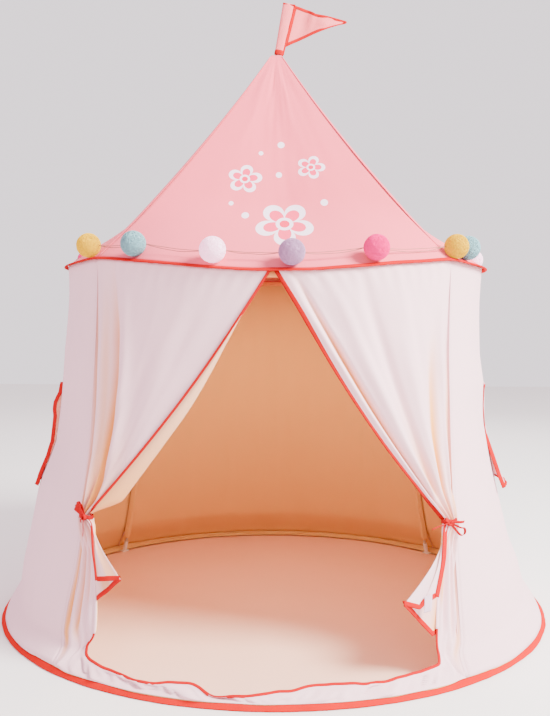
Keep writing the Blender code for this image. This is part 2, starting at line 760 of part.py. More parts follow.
def curtain_lower(across, down, side):
    """Below the tie the cloth falls in front of the strip beside the pole."""
    hem = mix(HEM_OUTER_HEIGHT, HEM_INNER_HEIGHT, across)
    height = mix(TIE_HEIGHT - TIE_NECK / 2, hem, down)
    tie_angle = mix(TIE_OUTER_ANGLE, TIE_INNER_ANGLE, across)
    hem_angle = mix(HEM_OUTER_ANGLE, HEM_INNER_ANGLE, across)
    standoff = mix(CURTAIN_STANDOFF, HEM_STANDOFF, math.sqrt(down))
    radius = max(wall_radius(TIE_HEIGHT) + CURTAIN_STANDOFF, wall_radius(height) + standoff)
    angle = splayed(SIDES[side] * mix(tie_angle, hem_angle, down), height)
    return around(angle, radius, height), mix(FOLD_TIE, FOLD_HEM, down)


def curtain_point(across, down, side):
    """Down runs from 0 at the eave to 1 at the tie, and from 2 below the tie to 3 at the hem."""
    if down <= 1:
        point, fold = curtain_upper(across, down, side)
    else:
        point, fold = curtain_lower(across, down - 2, side)
    wave = math.sin(2 * math.pi * CURTAIN_FOLDS * across) * min(across * CURTAIN_FOLDS, 1)
    return point + outward(point) * fold * wave


def add_curtains():
    columns = spread((0, 1), (5 * CURTAIN_FOLDS,))
    rows = spread((0, 1), (8,)) + spread((2, 3), (4,))
    for side in SIDES:
        def place(across, down, side=side):
            return curtain_point(across, down, side)
        add_sheet(f"curtain_{side}", columns, rows, place, "white_cloth")


# The ribbons

def ribbon(points, width, thickness, closed=False):
    """A strip along the points, as wide as the width vector, as an object to be joined to others."""
    shape = bmesh.new()
    corners = [shape.verts.new(point - width / 2) for point in points]
    following = corners[1:] + corners[:1] if closed else corners[1:]
    edges = [shape.edges.new(pair) for pair in zip(corners, following)]
    grown = bmesh.ops.extrude_edge_only(shape, edges=edges)["geom"]
    far = [item for item in grown if isinstance(item, bmesh.types.BMVert)]
    bmesh.ops.translate(shape, verts=far, vec=width)
    strip = loose_object(shape)
    thicken(strip, thickness)
    return strip


def squared(value):
    """Turns an ellipse's sine or cosine into that of a rounded rectangle."""
    return math.copysign(math.sqrt(abs(value)), value)


def add_ties():
    """A band round each gathered curtain, with a bow on its outer side."""
    tie_radius = wall_radius(TIE_HEIGHT) + CURTAIN_STANDOFF
    clear = CLOTH / 2 + GAP + RIBBON_THICKNESS / 2
    half_width = tie_radius * (TIE_OUTER_ANGLE - TIE_INNER_ANGLE) / 2 + clear + BAND_EASE / 2
    half_depth = FOLD_TIE + clear + BAND_EASE
    up = Vector((0, 0, 1))
    for name, side in SIDES.items():
        angle = splayed(side * (TIE_OUTER_ANGLE + TIE_INNER_ANGLE) / 2, TIE_HEIGHT)
        centre = around(angle, tie_radius, TIE_HEIGHT)
        out, along = outward(centre), Matrix.Rotation(angle, 3, "Z") @ TANGENT
        turns = [2 * math.pi * step / BAND_SIDES for step in range(BAND_SIDES)]
        band = [
            centre + out * half_depth * squared(math.cos(turn)) + along * half_width * squared(math.sin(turn))
            for turn in turns
        ]
        knot = centre + out * (half_depth + KNOT_RADIUS * KNOT_SEAT_SHARE)
        parts = [ribbon(band, up * RIBBON_WIDTH, RIBBON_THICKNESS, closed=True)]
        parts.append(ball(knot, KNOT_RADIUS, KNOT_SIDES, KNOT_RINGS))
        for sense in (-1, 1):
            for shares in (BOW_LOOP_SHARES, BOW_TAIL_SHARES):
                path = [knot + (along * sense * a + up * b + out * c) * BOW_SIZE for a, b, c in shares]
                parts.append(ribbon(path, out * RIBBON_WIDTH * BOW_WIDTH_SHARE, RIBBON_THICKNESS))
        add_object(f"curtain_tie_{name}", fused("curtain_tie", parts, []), "coral_cloth")


# The windows

def add_windows():
    """A net in each side opening, and a flap over it that turns up about its top edge."""
    for name, side in SIDES.items():
        middle = side * math.pi / 2
        half = WINDOW_HALF_ANGLE - 2 * GAP / EAVE_RADIUS
        columns = spread((middle - half, middle + half), (4,))
        rows = spread((WINDOW_BOTTOM + 2 * GAP, WINDOW_TOP - 2 * GAP), (2,))
        add_sheet(f"window_net_{name}", columns, rows, wall_point, "net", thickness=NET_THICKNESS)

        def flap_point(angle, height):
            share = (FLAP_TOP - height) / (FLAP_TOP - FLAP_BOTTOM)
            lift = FLAP_BULGE * min(share / FLAP_BULGE_START_SHARE, 1) ** FLAP_BULGE_POWER
            return around(angle, wall_radius(height) + CLOTH + FLAP_GAP + lift, height)

        hinge = bpy.data.objects.new(f"window_flap_{name}_hinge", None)
        hinge.location = around(middle, wall_radius(FLAP_TOP) + CLOTH + FLAP_GAP, FLAP_TOP)
        TENT.objects.link(hinge)
        bpy.context.view_layer.update()
        columns = spread((middle - FLAP_HALF_ANGLE, middle + FLAP_HALF_ANGLE), (8,))
        start = mix(FLAP_TOP, FLAP_BOTTOM, FLAP_BULGE_START_SHARE)
        rows = spread((FLAP_BOTTOM, start, FLAP_TOP), (3, 2))
        add_sheet(f"window_flap_{name}", columns, rows, flap_point, "white_cloth", parent=hinge)


# The flag

def flag_frame():
    """Turns the flag's own axes, outward, sideways and up the mast, into the tent's."""
    return Matrix.Translation(HUB_NODE) @ Matrix.Rotation(MAST_LEAN, 4, "Y")


def add_flag():
    swivel = bpy.data.objects.new("flag_swivel", None)
    swivel.matrix_world = flag_frame()
    TENT.objects.link(swivel)
    bpy.context.view_layer.update()
    inner_depth = POLE_RADIUS + GAP
    shape = bmesh.new()
    bmesh.ops.create_cone(
        shape, cap_ends=False, segments=SLEEVE_SIDES, radius1=1, radius2=1, depth=FLAG_SLEEVE_LENGTH,
        matrix=Matrix.Translation((0, 0, FLAG_SLEEVE_START + FLAG_SLEEVE_LENGTH / 2)),
    )
    half_depth = inner_depth / math.cos(math.pi / SLEEVE_SIDES) + CLOTH / 2
    bmesh.ops.scale(shape, vec=(FLAG_SLEEVE_HALF_WIDTH - CLOTH / 2, half_depth, 1), verts=shape.verts)
    bmesh.ops.transform(shape, matrix=flag_frame(), verts=shape.verts)
    sleeve = add_object("flag_sleeve", finish_mesh("flag_sleeve", shape), "pink_cloth", swivel)
    thicken(sleeve, CLOTH)

    foot = FLAG_SLEEVE_START + FLAG_SLEEVE_LENGTH - PENNANT_HEIGHT
    start = FLAG_SLEEVE_HALF_WIDTH + GAP
    outline = bpy.data.curves.new("pennant", "CURVE")
    outline.dimensions = "2D"
    outline.fill_mode = "BOTH"
    outline.extrude = PENNANT_THICKNESS / 2
    spline = outline.splines.new("POLY")
    spline.use_cyclic_u = True
    spline.points.add(len(PENNANT_SHARES) - 1)
    for point, (along, up) in zip(spline.points, PENNANT_SHARES):
        point.co = (start + along * PENNANT_LENGTH, foot + up * PENNANT_HEIGHT, 0, 1)
    pennant = add_object("pennant", outline, "pink_cloth", swivel)
    pennant.matrix_world = flag_frame() @ Matrix.Rotation(math.pi / 2, 4, "X")


# The string of balls

def ball_frame(angle):
    """The ball's centre, with the directions along the string and out of the roof.

    It starts at the lowest seat, and goes up the roof until it clears the eave tape.
    """
    along = Matrix.Rotation(angle, 3, "Z") @ TANGENT
    inner = EAVE_RADIUS + CLOTH / 2 + GAP
    rims = ((inner + EAVE_TAPE_THICKNESS, EAVE_TAPE_HALF_HEIGHT),
            (inner + EAVE_TAPE_WIDTH, EAVE_TAPE_THICKNESS - EAVE_TAPE_HALF_HEIGHT))
    corners = [around(angle, radius, eave_height(angle) + height) for radius, height in rims]
    share = BALL_SEAT_SHARE
    while True:
        out = roof_normal(angle, share)
        out = (out - along * out.dot(along)).normalized()
        centre = roof_point(angle, share) + out * (BALL_RADIUS + CLOTH / 2 + GAP)
        if min((corner - centre).length for corner in corners) > BALL_RADIUS + 2 * GAP:
            return centre, along, out
        share += SEAT_STEP_SHARE


def wire_points():
    """Straight through each ball's bore, and down to the roof between balls that aren't side by side."""
    points = []
    angles = [math.radians(degrees) for degrees, _ in GARLAND]
    reach = BALL_RADIUS + GAP
    for index, angle in enumerate(angles):
        centre, along, _ = ball_frame(angle)
        start = centre - along * reach * (1 if index else WIRE_END_SHARE)
        end = centre + along * reach * (1 if index < len(angles) - 1 else WIRE_END_SHARE)
        points += [start, end]
        if index == len(angles) - 1:
            break
        margin = WIRE_RISE_SHARE * reach / EAVE_RADIUS
        if angles[index + 1] - angle < 2 * margin:
            continue
        steps = max(round((angles[index + 1] - angle) / RING_STEP) - 2, 2)
        for step in range(steps + 1):
            share = step / steps
            between = mix(angle + margin, angles[index + 1] - margin, share)
            lift = mix(WIRE_LIFT, BALL_RADIUS, WIRE_SAG_SHARE * (2 * share - 1) ** 2)
            points.append(roof_point(between, BALL_SEAT_SHARE) + roof_normal(between, BALL_SEAT_SHARE) * lift)
    return points


def ball_outline():
    """Half a ball's section, from one end of its bore to the other, with the bore's wall closing it."""
    bore = bore_radius(WIRE_RADIUS)
    start = math.asin(bore / BALL_RADIUS)
    turns = [mix(start, math.pi - start, step / BALL_RINGS) for step in range(BALL_RINGS + 1)]
    return [(BALL_RADIUS * math.sin(turn), BALL_RADIUS * math.cos(turn)) for turn in turns]


def add_garland():
    add_tube("garland_wire", wire_points(), WIRE_RADIUS, "wire", resolution=0)
    outline = ball_outline()
    for number, (degrees, colour) in enumerate(GARLAND, start=1):
        shape = bmesh.new()
        corners = [shape.verts.new((radius, 0, up)) for radius, up in outline]
        for corner, following in zip(corners, corners[1:] + corners[:1]):
            shape.edges.new((corner, following))
        name = f"garland_ball_{number:02d}_{colour}"
        made = add_object(name, finish_mesh(name, shape), f"ball_{colour}")
        turned = made.modifiers.new("Turn", "SCREW")
        turned.steps = turned.render_steps = BALL_SIDES
        turned.use_merge_vertices = False
        centre, along, out = ball_frame(math.radians(degrees))
        turn = Matrix((out, along.cross(out), along)).transposed().to_4x4()
        made.matrix_world = Matrix.Translation(centre) @ turn


def main():
    add_frame()
    add_roof()
    add_walls()
    add_doorway()
    add_foot_sleeve()
    add_eave_tape()
    add_floor()
    add_curtains()
    add_ties()
    add_windows()
    add_flag()
    add_garland()


main()
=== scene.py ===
"""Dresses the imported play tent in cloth, trims, a string of balls and a flag, with a camera and lights."""
import math
import random

import bpy
from mathutils import Matrix, Vector, noise


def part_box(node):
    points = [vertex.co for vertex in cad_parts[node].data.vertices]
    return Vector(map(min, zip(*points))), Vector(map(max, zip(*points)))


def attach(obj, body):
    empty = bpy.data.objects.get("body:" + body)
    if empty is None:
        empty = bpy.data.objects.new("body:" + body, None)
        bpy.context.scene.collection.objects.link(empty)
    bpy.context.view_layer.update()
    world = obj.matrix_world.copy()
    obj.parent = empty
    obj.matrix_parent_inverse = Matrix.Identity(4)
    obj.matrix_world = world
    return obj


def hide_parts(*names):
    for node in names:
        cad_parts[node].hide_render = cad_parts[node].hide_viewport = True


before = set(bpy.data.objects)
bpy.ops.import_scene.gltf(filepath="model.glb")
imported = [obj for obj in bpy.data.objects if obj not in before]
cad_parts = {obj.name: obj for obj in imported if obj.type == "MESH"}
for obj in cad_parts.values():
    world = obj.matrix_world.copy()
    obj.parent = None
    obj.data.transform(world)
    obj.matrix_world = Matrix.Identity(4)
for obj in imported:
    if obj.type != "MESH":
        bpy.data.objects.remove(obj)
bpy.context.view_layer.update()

rad = math.radians
TAU = 2 * math.pi
UP = Vector((0, 0, 1))
scene = bpy.context.scene

# Sizes of the frame, in metres, as the CAD source has them
FOOT_RADIUS, BASE_RADIUS = 0.568, 0.600
EAVE_RADIUS, EAVE_HEIGHT, APEX_HEIGHT = 0.4575, 0.748, 1.230
ROOF_TOP_RADIUS, WALL_WAIST, RIDGE_BOW, DOOR_DIP, FLARE_SHARE = 0.014, 0.030, 0.016, 0.026, 0.30
POLE_ANGLE = rad(48)
BACK_ANGLE = math.pi - POLE_ANGLE
FOOT_ANGLES = {-1: rad(43.5), 1: rad(37.5)}
SPLAY_END = rad(78)
HUB_HEIGHT, MAST_LEAN = 1.205, rad(10)
TIE_HEIGHT = 0.266
CLOTH = 0.0008
FOOT_LIFT = 0.0106
CONNECTOR_REACH, CONNECTOR_RISE = rad(3.4), 0.0022
FLOOR_RADIUS, FLOOR_HEIGHT = 0.5655, 0.0016
SEAM_INSET, BAND_INSET = rad(0.05), rad(0.1)
SIDE_ANGLE = rad(90)
WINDOW_HALF, WINDOW_LOW, WINDOW_HIGH = rad(12), 0.300, 0.485
FLAP_HALF, FLAP_TOP, FLAP_BOTTOM = rad(15), 0.500, 0.280
CURTAIN_STANDOFF, TIE_STANDOFF = 0.0035, 0.0060
BALL_RADIUS, WIRE_WIDTH, HOOP_ROD_RADIUS = 0.024, 0.0012, 0.003
GARLAND = (
    (-102, "pink"), (-51, "yellow"), (-33.8, "blue"), (-13.3, "white"), (4.1, "grey"),
    (23.5, "pink"), (49.1, "yellow"), (55.8, "blue"), (96, "white"), (117, "pink"),
)
PANELS = {
    "front": (-POLE_ANGLE, POLE_ANGLE),
    "right": (POLE_ANGLE, BACK_ANGLE),
    "back": (BACK_ANGLE, TAU - BACK_ANGLE),
    "left": (-BACK_ANGLE, -POLE_ANGLE),
}
# Each pole's name, its side, and whether it stands beside the doorway
SEAMS = (("front_left", -1, True), ("front_right", 1, True), ("back_right", 1, False),
         ("back_left", -1, False))


def mix(a, b, share):
    return a + (b - a) * share


def smooth(share):
    share = min(max(share, 0), 1)
    return share * share * (3 - 2 * share)


def table_value(points, x):
    """The value at x on straight lines between (x, value) points."""
    if x <= points[0][0]:
        return points[0][1]
    for (x0, y0), (x1, y1) in zip(points, points[1:]):
        if x <= x1:
            return mix(y0, y1, (x - x0) / (x1 - x0))
    return points[-1][1]


def steps(start, end, count):
    return [mix(start, end, index / count) for index in range(count + 1)]


def around(angle, radius, height):
    return Vector((radius * math.sin(angle), -radius * math.cos(angle), height))


def sideways(angle):
    """The level direction across the tent's surface at this angle."""
    return Matrix.Rotation(angle, 3, "Z") @ Vector((1, 0, 0))


def outward(point):
    return Vector((point.x, point.y, 0)).normalized()


def bulge(value, power):
    """A sine or cosine made fuller or slimmer, with its sign kept."""
    return math.copysign(abs(value) ** power, value)


def rough(x, y, z=0.0):
    """Smooth noise, from about -1 to 1, the same on each run."""
    return noise.noise(Vector((x, y, z + 7.3)))


# The surfaces of the frame

def wall_radius(height):
    share = height / EAVE_HEIGHT
    return mix(FOOT_RADIUS, EAVE_RADIUS, share) - WALL_WAIST * 4 * share * (1 - share)


def eave_height(angle):
    angle = math.remainder(angle, TAU)
    if abs(angle) >= POLE_ANGLE:
        return EAVE_HEIGHT
    return EAVE_HEIGHT - DOOR_DIP * (1 + math.cos(math.pi * angle / POLE_ANGLE)) / 2


def eave_rise(angle):
    """The cloth stands a little higher where the front poles push it up."""
    return 0.0042 * math.exp(-((abs(math.remainder(angle, TAU)) - POLE_ANGLE) / rad(8)) ** 2)


def pole_angle(side, height):
    """How far round the front pole stands, on the right for side 1 and on the left for side -1."""
    share = max(1 - height / EAVE_HEIGHT, 0)
    return mix(POLE_ANGLE, FOOT_ANGLES[side], share ** 1.5)


def seam_angle(side, height):
    """The seam beside the pole, drawn in at its foot. The left one bends to the window halfway up."""
    share = max(1 - height / EAVE_HEIGHT, 0)
    drawn_in = rad(2.6) * (1 - smooth((height - FOOT_LIFT) / 0.05))
    if side > 0:
        return pole_angle(side, height) - drawn_in
    pulled = rad(1.0) * math.sin(math.pi * min(share / 0.62, 1))
    pulled += rad(0.7) * math.exp(-((height - 0.09) / 0.05) ** 2)
    return pole_angle(side, height) + pulled - drawn_in


def turned(angle, height):
    """An even angle at the eave, moved to where the wall's cloth has it at this height."""
    angle = math.remainder(angle, TAU)
    side = 1 if angle > 0 else -1
    seam = seam_angle(side, height)
    size = abs(angle)
    if size <= POLE_ANGLE:
        size = size * seam / POLE_ANGLE
    elif size < SPLAY_END:
        size = mix(seam, SPLAY_END, (size - POLE_ANGLE) / (SPLAY_END - POLE_ANGLE))
    return side * size


LEFT_BELLY = ((0, 0), (0.043, 0.0075), (0.1155, 0.018), (0.166, 0.020), (0.266, 0.0215), (0.30, 0.018),
              (0.335, 0.0095), (0.373, 0.001), (0.42, 0.001), (0.5, 0.002), (0.573, 0.003), (0.68, -0.001),
              (0.748, 0))
RIGHT_BELLY = ((0, 0), (0.048, 0.0035), (0.119, 0.005), (0.167, -0.003), (0.231, -0.0045), (0.33, -0.009),
               (0.42, -0.012), (0.455, -0.010), (0.5, -0.004), (0.56, -0.008), (0.68, -0.0055),
               (0.748, -0.001))

def over_connector(angle):
    """1 over a foot connector, 0 beside it: the cloth rises a little where it lies on one."""
    feet = (-FOOT_ANGLES[-1], FOOT_ANGLES[1], BACK_ANGLE, -BACK_ANGLE)
    nearest = min(abs(math.remainder(angle - foot, TAU)) for foot in feet)
    return 1 - smooth((nearest - CONNECTOR_REACH) / rad(2.5))


def in_front(angle):
    """1 at the doorway, 0 from the sides on back."""
    return 1 - smooth((abs(math.remainder(angle, TAU)) - rad(45)) / rad(50))


def white_edge(angle):
    """How far out the white cloth of the wall reaches over the foot hoop."""
    c, s = math.cos(angle), math.sin(angle)
    front = in_front(angle)
    return mix(0.5850, 0.5932, front) + (0.0008 + 0.0012 * front) * rough(c * 9, s * 9, 6)


def flare(angle, height):
    """The wall's cloth runs out over the hoop at its foot."""
    reach = mix(0.070, 0.034, in_front(angle))
    return (white_edge(angle) - wall_radius(FOOT_LIFT)) * (1 - smooth((height - FOOT_LIFT) / reach))


def wall_at(angle, height, off=0.0):
    """A point on the wall, with the belly of the cloth between the poles and its slack."""
    side = 1 if angle > 0 else -1
    between = max(0, 1 - ((abs(angle) - math.pi / 2) / rad(46)) ** 2)
    belly = table_value(LEFT_BELLY if side < 0 else RIGHT_BELLY, height) * smooth(between)
    fixed = smooth((height - FOOT_LIFT) / 0.05) * smooth((EAVE_HEIGHT - height) / 0.05)
    slack = 0.0022 * rough(angle * 9, height * 2.2) + 0.0012 * rough(angle * 26, height * 3.5, 4)
    pull = 0.0009 * rough(angle * 70, height * 2.0, 9) * (1 - smooth(height / 0.16))
    radius = wall_radius(height) + belly + flare(angle, height) + (slack + pull) * fixed + off
    rise = eave_rise(angle) * smooth((height - 0.55) / 0.19)
    rise += CONNECTOR_RISE * over_connector(angle) * (1 - smooth((height - FOOT_LIFT) / 0.03))
    return around(angle, radius, height + rise)


def ridge_radius(share):
    return mix(EAVE_RADIUS, ROOF_TOP_RADIUS, share) - RIDGE_BOW * 4 * share * (1 - share)


def roof_at(angle, share, off=0.0):
    """A point on the roof: round over the hoop, flat between the ridges above, slack in between."""
    start, end = next(
        (a + turn, b + turn) for a, b in PANELS.values() for turn in (-TAU, 0,
                                                                      TAU) if a + turn <= angle <= b + turn
    )
    ridge = ridge_radius(share)
    flat = ridge * math.cos((end - start) / 2) / math.cos(angle - (start + end) / 2)
    radius = mix(flat, ridge, 1 - smooth(share / FLARE_SHARE))
    edge = min(angle - start, end - angle) / (end - start) * 2
    free = smooth(edge * 3) * smooth((1 - share) * 6)
    slack = 0.0035 * rough(angle * 3.2, share * 3.1, 2) + 0.0013 * rough(angle * 9, share * 7, 5)
    pucker = 0.0016 * rough(angle * 48, share * 3, 8) * (1 - smooth(share / 0.14)) * smooth(share / 0.012)
    radius += slack * free * smooth(share / 0.05) + pucker * smooth(edge * 8) + off
    low = eave_height(angle) + 0.0008 + eave_rise(angle) * (1 - smooth(share / 0.2))
    return around(angle, radius, mix(low, APEX_HEIGHT, share))


# Materials

def add(tree, kind, inputs=(), **settings):
    """A shader node with its settings, each input given a value or another node's output."""
    made = tree.nodes.new(kind)
    for key, value in settings.items():
        setattr(made, key, value)
    for key, value in dict(inputs).items():
        if isinstance(value, bpy.types.NodeSocket):
            tree.links.new(value, made.inputs[key])
        else:
            made.inputs[key].default_value = value
    return made


def calc(tree, operation, first, second=0.0, third=0.0):
    return add(tree, "ShaderNodeMath", {0: first, 1: second, 2: third}, operation=operation).outputs[0]


def blend_colour(tree, factor, first, second, mode="MIX"):
    made = add(tree, "ShaderNodeMix", data_type="RGBA", blend_type=mode)
    for index, value in ((0, factor), (6, first), (7, second)):
        if isinstance(value, bpy.types.NodeSocket):
            tree.links.new(value, made.inputs[index])
        else:
            made.inputs[index].default_value = (*value, 1) if isinstance(value,
                                                                         tuple) and len(value) == 3 else value
    return made.outputs[2]


def shade(colour, factor):
    return tuple(min(part * factor, 1) for part in colour)


def start_material(name, roughness, metallic=0.0, sheen=0.0, specular=0.5):
    made = bpy.data.materials.new(name)
    made.use_nodes = True
    shader = made.node_tree.nodes["Principled BSDF"]
    shader.inputs["Roughness"].default_value = roughness
    shader.inputs["Metallic"].default_value = metallic
    shader.inputs["Sheen Weight"].default_value = sheen
    shader.inputs["Sheen Roughness"].default_value = 0.6
    shader.inputs["Specular IOR Level"].default_value = specular
    return made, made.node_tree, shader


def weave(tree, pitch):
    """Plain weave along the sheet's own measure, over soft crinkles: its normal, threads and place."""
    measure = add(tree, "ShaderNodeUVMap", uv_map="Cloth").outputs[0]
    split = add(tree, "ShaderNodeSeparateXYZ", {0: measure})
    turn = TAU / pitch
    warp = calc(tree, "SINE", calc(tree, "MULTIPLY", split.outputs[0], turn))
    weft = calc(tree, "SINE", calc(tree, "MULTIPLY", split.outputs[1], turn))
    threads = calc(tree, "MULTIPLY", warp, weft)
    place = add(tree, "ShaderNodeTexCoord").outputs["Object"]
    soft = add(tree, "ShaderNodeTexNoise",
               {"Vector": place, "Scale": 22.0, "Detail": 3.0, "Roughness": 0.55})
    low = add(tree, "ShaderNodeBump", {"Height": soft.outputs[0], "Distance": 0.0004, "Strength": 0.6})
    fine = add(tree, "ShaderNodeBump",
               {"Height": threads, "Distance": 0.00012, "Strength": 0.5, "Normal": low.outputs[0]})
    return fine.outputs[0], threads, place


def cloth(name, colour, inside=None, glow=None, roughness=0.92, pitch=0.0012):
    """Woven cloth. The inner face takes the colour inside, painted warm light from inside the tent, and what
    the attribute glow marks takes glow, painted warm light and shade in the folds.
    """
    made, tree, shader = start_material(name, roughness, sheen=0.06, specular=0.15)
    normal, threads, place = weave(tree, pitch)
    tree.links.new(normal, shader.inputs["Normal"])
    patches = add(tree, "ShaderNodeTexNoise",
                  {"Vector": place, "Scale": 5.0, "Detail": 4.0, "Roughness": 0.6}).outputs[0]
    tone = blend_colour(tree, patches, shade(colour, 0.95), shade(colour, 1.04))
    # Painted light: the faces turned inward take the warm inside colour in place of light from inside the
    # tent.
    if inside:
        spot = add(tree, "ShaderNodeNewGeometry")
        level = add(tree, "ShaderNodeVectorMath", {0: spot.outputs["Position"], 1: (1, 1, 0)},
                    operation="MULTIPLY")
        facing = add(
            tree, "ShaderNodeVectorMath", {0: level.outputs[0], 1: spot.outputs["True Normal"]},
            operation="DOT_PRODUCT"
        ).outputs["Value"]
        inward = calc(tree, "LESS_THAN", facing, 0.0)
        tone = blend_colour(tree, inward, tone, inside)
    # Painted light and shade: the glow attribute mixes in the warm fold colour.
    if glow:
        marked = add(tree, "ShaderNodeAttribute", attribute_name="glow").outputs["Fac"]
        tone = blend_colour(tree, marked, tone, glow)
    grain = calc(tree, "MULTIPLY_ADD", threads, 0.025, 0.975)
    tree.links.new(blend_colour(tree, 1.0, tone, grain, "MULTIPLY"), shader.inputs["Base Color"])
    return made


def tape(name, colour, stitches=(0.22, 0.78)):
    """Binding tape with ribs across it, and rows of stitches at shares of its width."""
    made, tree, shader = start_material(name, 0.85, specular=0.02)
    measure = add(tree, "ShaderNodeUVMap", uv_map="Cloth").outputs[0]
    split = add(tree, "ShaderNodeSeparateXYZ", {0: measure})
    along, across = split.outputs[0], split.outputs[1]
    ribs = calc(tree, "SINE", calc(tree, "MULTIPLY", along, TAU / 0.0011))
    place = add(tree, "ShaderNodeTexCoord").outputs["Object"]
    patches = add(tree, "ShaderNodeTexNoise", {"Vector": place, "Scale": 30.0, "Detail": 3.0}).outputs[0]
    tone = blend_colour(tree, patches, shade(colour, 0.86), shade(colour, 1.08))
    height = calc(tree, "MULTIPLY", ribs, 0.3)
    dash = calc(tree, "LESS_THAN", calc(tree, "FRACT", calc(tree, "DIVIDE", along, 0.0036)), 0.62)
    for share in stitches:
        near = calc(tree, "LESS_THAN", calc(tree, "ABSOLUTE", calc(tree, "SUBTRACT", across, share)), 0.035)
        stitch = calc(tree, "MULTIPLY", near, dash)
        tone = blend_colour(tree, stitch, tone, shade(colour, 1.25))
        height = calc(tree, "SUBTRACT", height, calc(tree, "MULTIPLY", near, 1.4))
        height = calc(tree, "ADD", height, calc(tree, "MULTIPLY", stitch, 2.0))
    bump = add(tree, "ShaderNodeBump", {"Height": height, "Distance": 0.0002, "Strength": 0.5})
    tree.links.new(bump.outputs[0], shader.inputs["Normal"])
    tree.links.new(tone, shader.inputs["Base Color"])
    return made


def thread(name, colour, lit=None):
    """Wound cotton thread, with painted light if lit has a colour: an emission that makes the ball glow as if
    lit from inside.
    """
    made, tree, shader = start_material(name, 0.7, specular=0.04)
    if lit:
        shader.inputs["Emission Color"].default_value = (*lit, 1)
        shader.inputs["Emission Strength"].default_value = 1.0
    place = add(tree, "ShaderNodeTexCoord").outputs["Object"]
    patches = add(tree, "ShaderNodeTexNoise",
                  {"Vector": place, "Scale": 180.0, "Detail": 4.0, "Roughness": 0.7}).outputs[0]
    tone = blend_colour(tree, patches, shade(colour, 0.72), shade(colour, 1.25))
    tree.links.new(tone, shader.inputs["Base Color"])
    fuzz = add(tree, "ShaderNodeTexNoise", {"Vector": place, "Scale": 900.0, "Detail": 2.0}).outputs[0]
    bump = add(tree, "ShaderNodeBump", {"Height": fuzz, "Distance": 0.0003, "Strength": 0.5})
    tree.links.new(bump.outputs[0], shader.inputs["Normal"])
    return made


def plastic(name, colour, roughness, grain=0.00004, scale=600.0, metallic=0.0):
    """Moulded or drawn plastic, or wire, with a fine grain and faint wear."""
    made, tree, shader = start_material(name, roughness, metallic=metallic)
    place = add(tree, "ShaderNodeTexCoord").outputs["Object"]
    wear = add(tree, "ShaderNodeTexNoise", {"Vector": place, "Scale": 40.0, "Detail": 5.0}).outputs[0]
    tree.links.new(blend_colour(tree, wear, shade(colour, 0.88), shade(colour, 1.06)),
                   shader.inputs["Base Color"])
    tree.links.new(calc(tree, "MULTIPLY_ADD", wear, 0.2, roughness - 0.1), shader.inputs["Roughness"])
    fine = add(tree, "ShaderNodeTexNoise", {"Vector": place, "Scale": scale, "Detail": 2.0}).outputs[0]
    bump = add(tree, "ShaderNodeBump", {"Height": fine, "Distance": grain, "Strength": 0.6})
    tree.links.new(bump.outputs[0], shader.inputs["Normal"])
    return made


# The first colour, the white cloth, has a painted pink cast of bounce light; the second is painted warm light
# from inside the tent, for the inner faces; the third is painted warm light and shade in the fold valleys.
WHITE, WARM_INSIDE_LIGHT, GLOW = (0.86, 0.53, 0.58), (0.80, 0.47, 0.17), (0.84, 0.34, 0.09)
CORAL, PINK = (0.46, 0.002, 0.006), (0.87, 0.120, 0.178)
# Painted warm light from inside the tent, for the roof's inner face.
ROOF_INSIDE_LIGHT = (0.80, 0.20, 0.12)
COLOURS = {
    "pink": (0.76, 0.0, 0.17), "yellow": (0.56, 0.30, 0.0), "blue": (0.21, 0.36, 0.40),
    "white": (0.88, 0.58, 0.70), "grey": (0.36, 0.20, 0.33),
}
WALL_CLOTH = cloth("wall_cloth", WHITE, inside=WARM_INSIDE_LIGHT)
CURTAIN_CLOTH = cloth("curtain_cloth", WHITE, inside=WARM_INSIDE_LIGHT, glow=GLOW)
BAND_CLOTH = cloth("band_cloth", WHITE, inside=WARM_INSIDE_LIGHT, glow=GLOW)
# Painted light: the lapel is coloured warmer for warm light shining through the cloth.
LAPEL_CLOTH = cloth("lapel_cloth", (0.86, 0.50, 0.34), glow=GLOW)
ROOF_CLOTH = cloth("roof_cloth", PINK, inside=ROOF_INSIDE_LIGHT)
FLAG_CLOTH = cloth("flag_cloth", (0.90, 0.17, 0.19), pitch=0.0009)
# Painted warm light from inside the tent, on the pocket's cloth.
POCKET_CLOTH = cloth("eave_pocket_cloth", (0.80, 0.30, 0.10))
# Painted warm inside light, darkened for painted shade at the floor's edge.
CHANNEL_CLOTH = cloth("channel_cloth", shade(WARM_INSIDE_LIGHT, 0.85))
SEAM_WHITE = cloth("seam_white", shade(WHITE, 0.97), pitch=0.0009)
SEAM_PINK = cloth("seam_pink", shade(PINK, 0.95), pitch=0.0009)
FLAP_CLOTH = cloth("flap_cloth", WHITE)
# Painted warm light from inside the tent on the white floor sheet.
FLOOR_CLOTH = cloth("floor_cloth", (0.84, 0.48, 0.36), roughness=0.85)
CORAL_TAPE = tape("coral_tape", CORAL)
# A darker copy of the coral tape: painted shade for the right curtain's edge, which lies in shade.
SHADED_CORAL_TAPE = tape("shaded_coral_tape", (0.34, 0.001, 0.003))
BASE_TAPE = tape("base_tape", (0.56, 0.002, 0.003), stitches=(0.10, 0.90))
RIBBON = tape("ribbon", (0.42, 0.002, 0.007), stitches=())
LABEL = cloth("label_cloth", (0.76, 0.50, 0.62), pitch=0.0008)
NET = plastic("net_thread", (0.86, 0.84, 0.84), 0.8)
ROD = plastic("rod", (0.50, 0.44, 0.38), 0.32, grain=0.00002, scale=1500.0)
CONNECTOR = plastic("connector", (0.75, 0.72, 0.70), 0.42)
WIRE = plastic("wire", (0.34, 0.13, 0.09), 0.45, metallic=0.15)
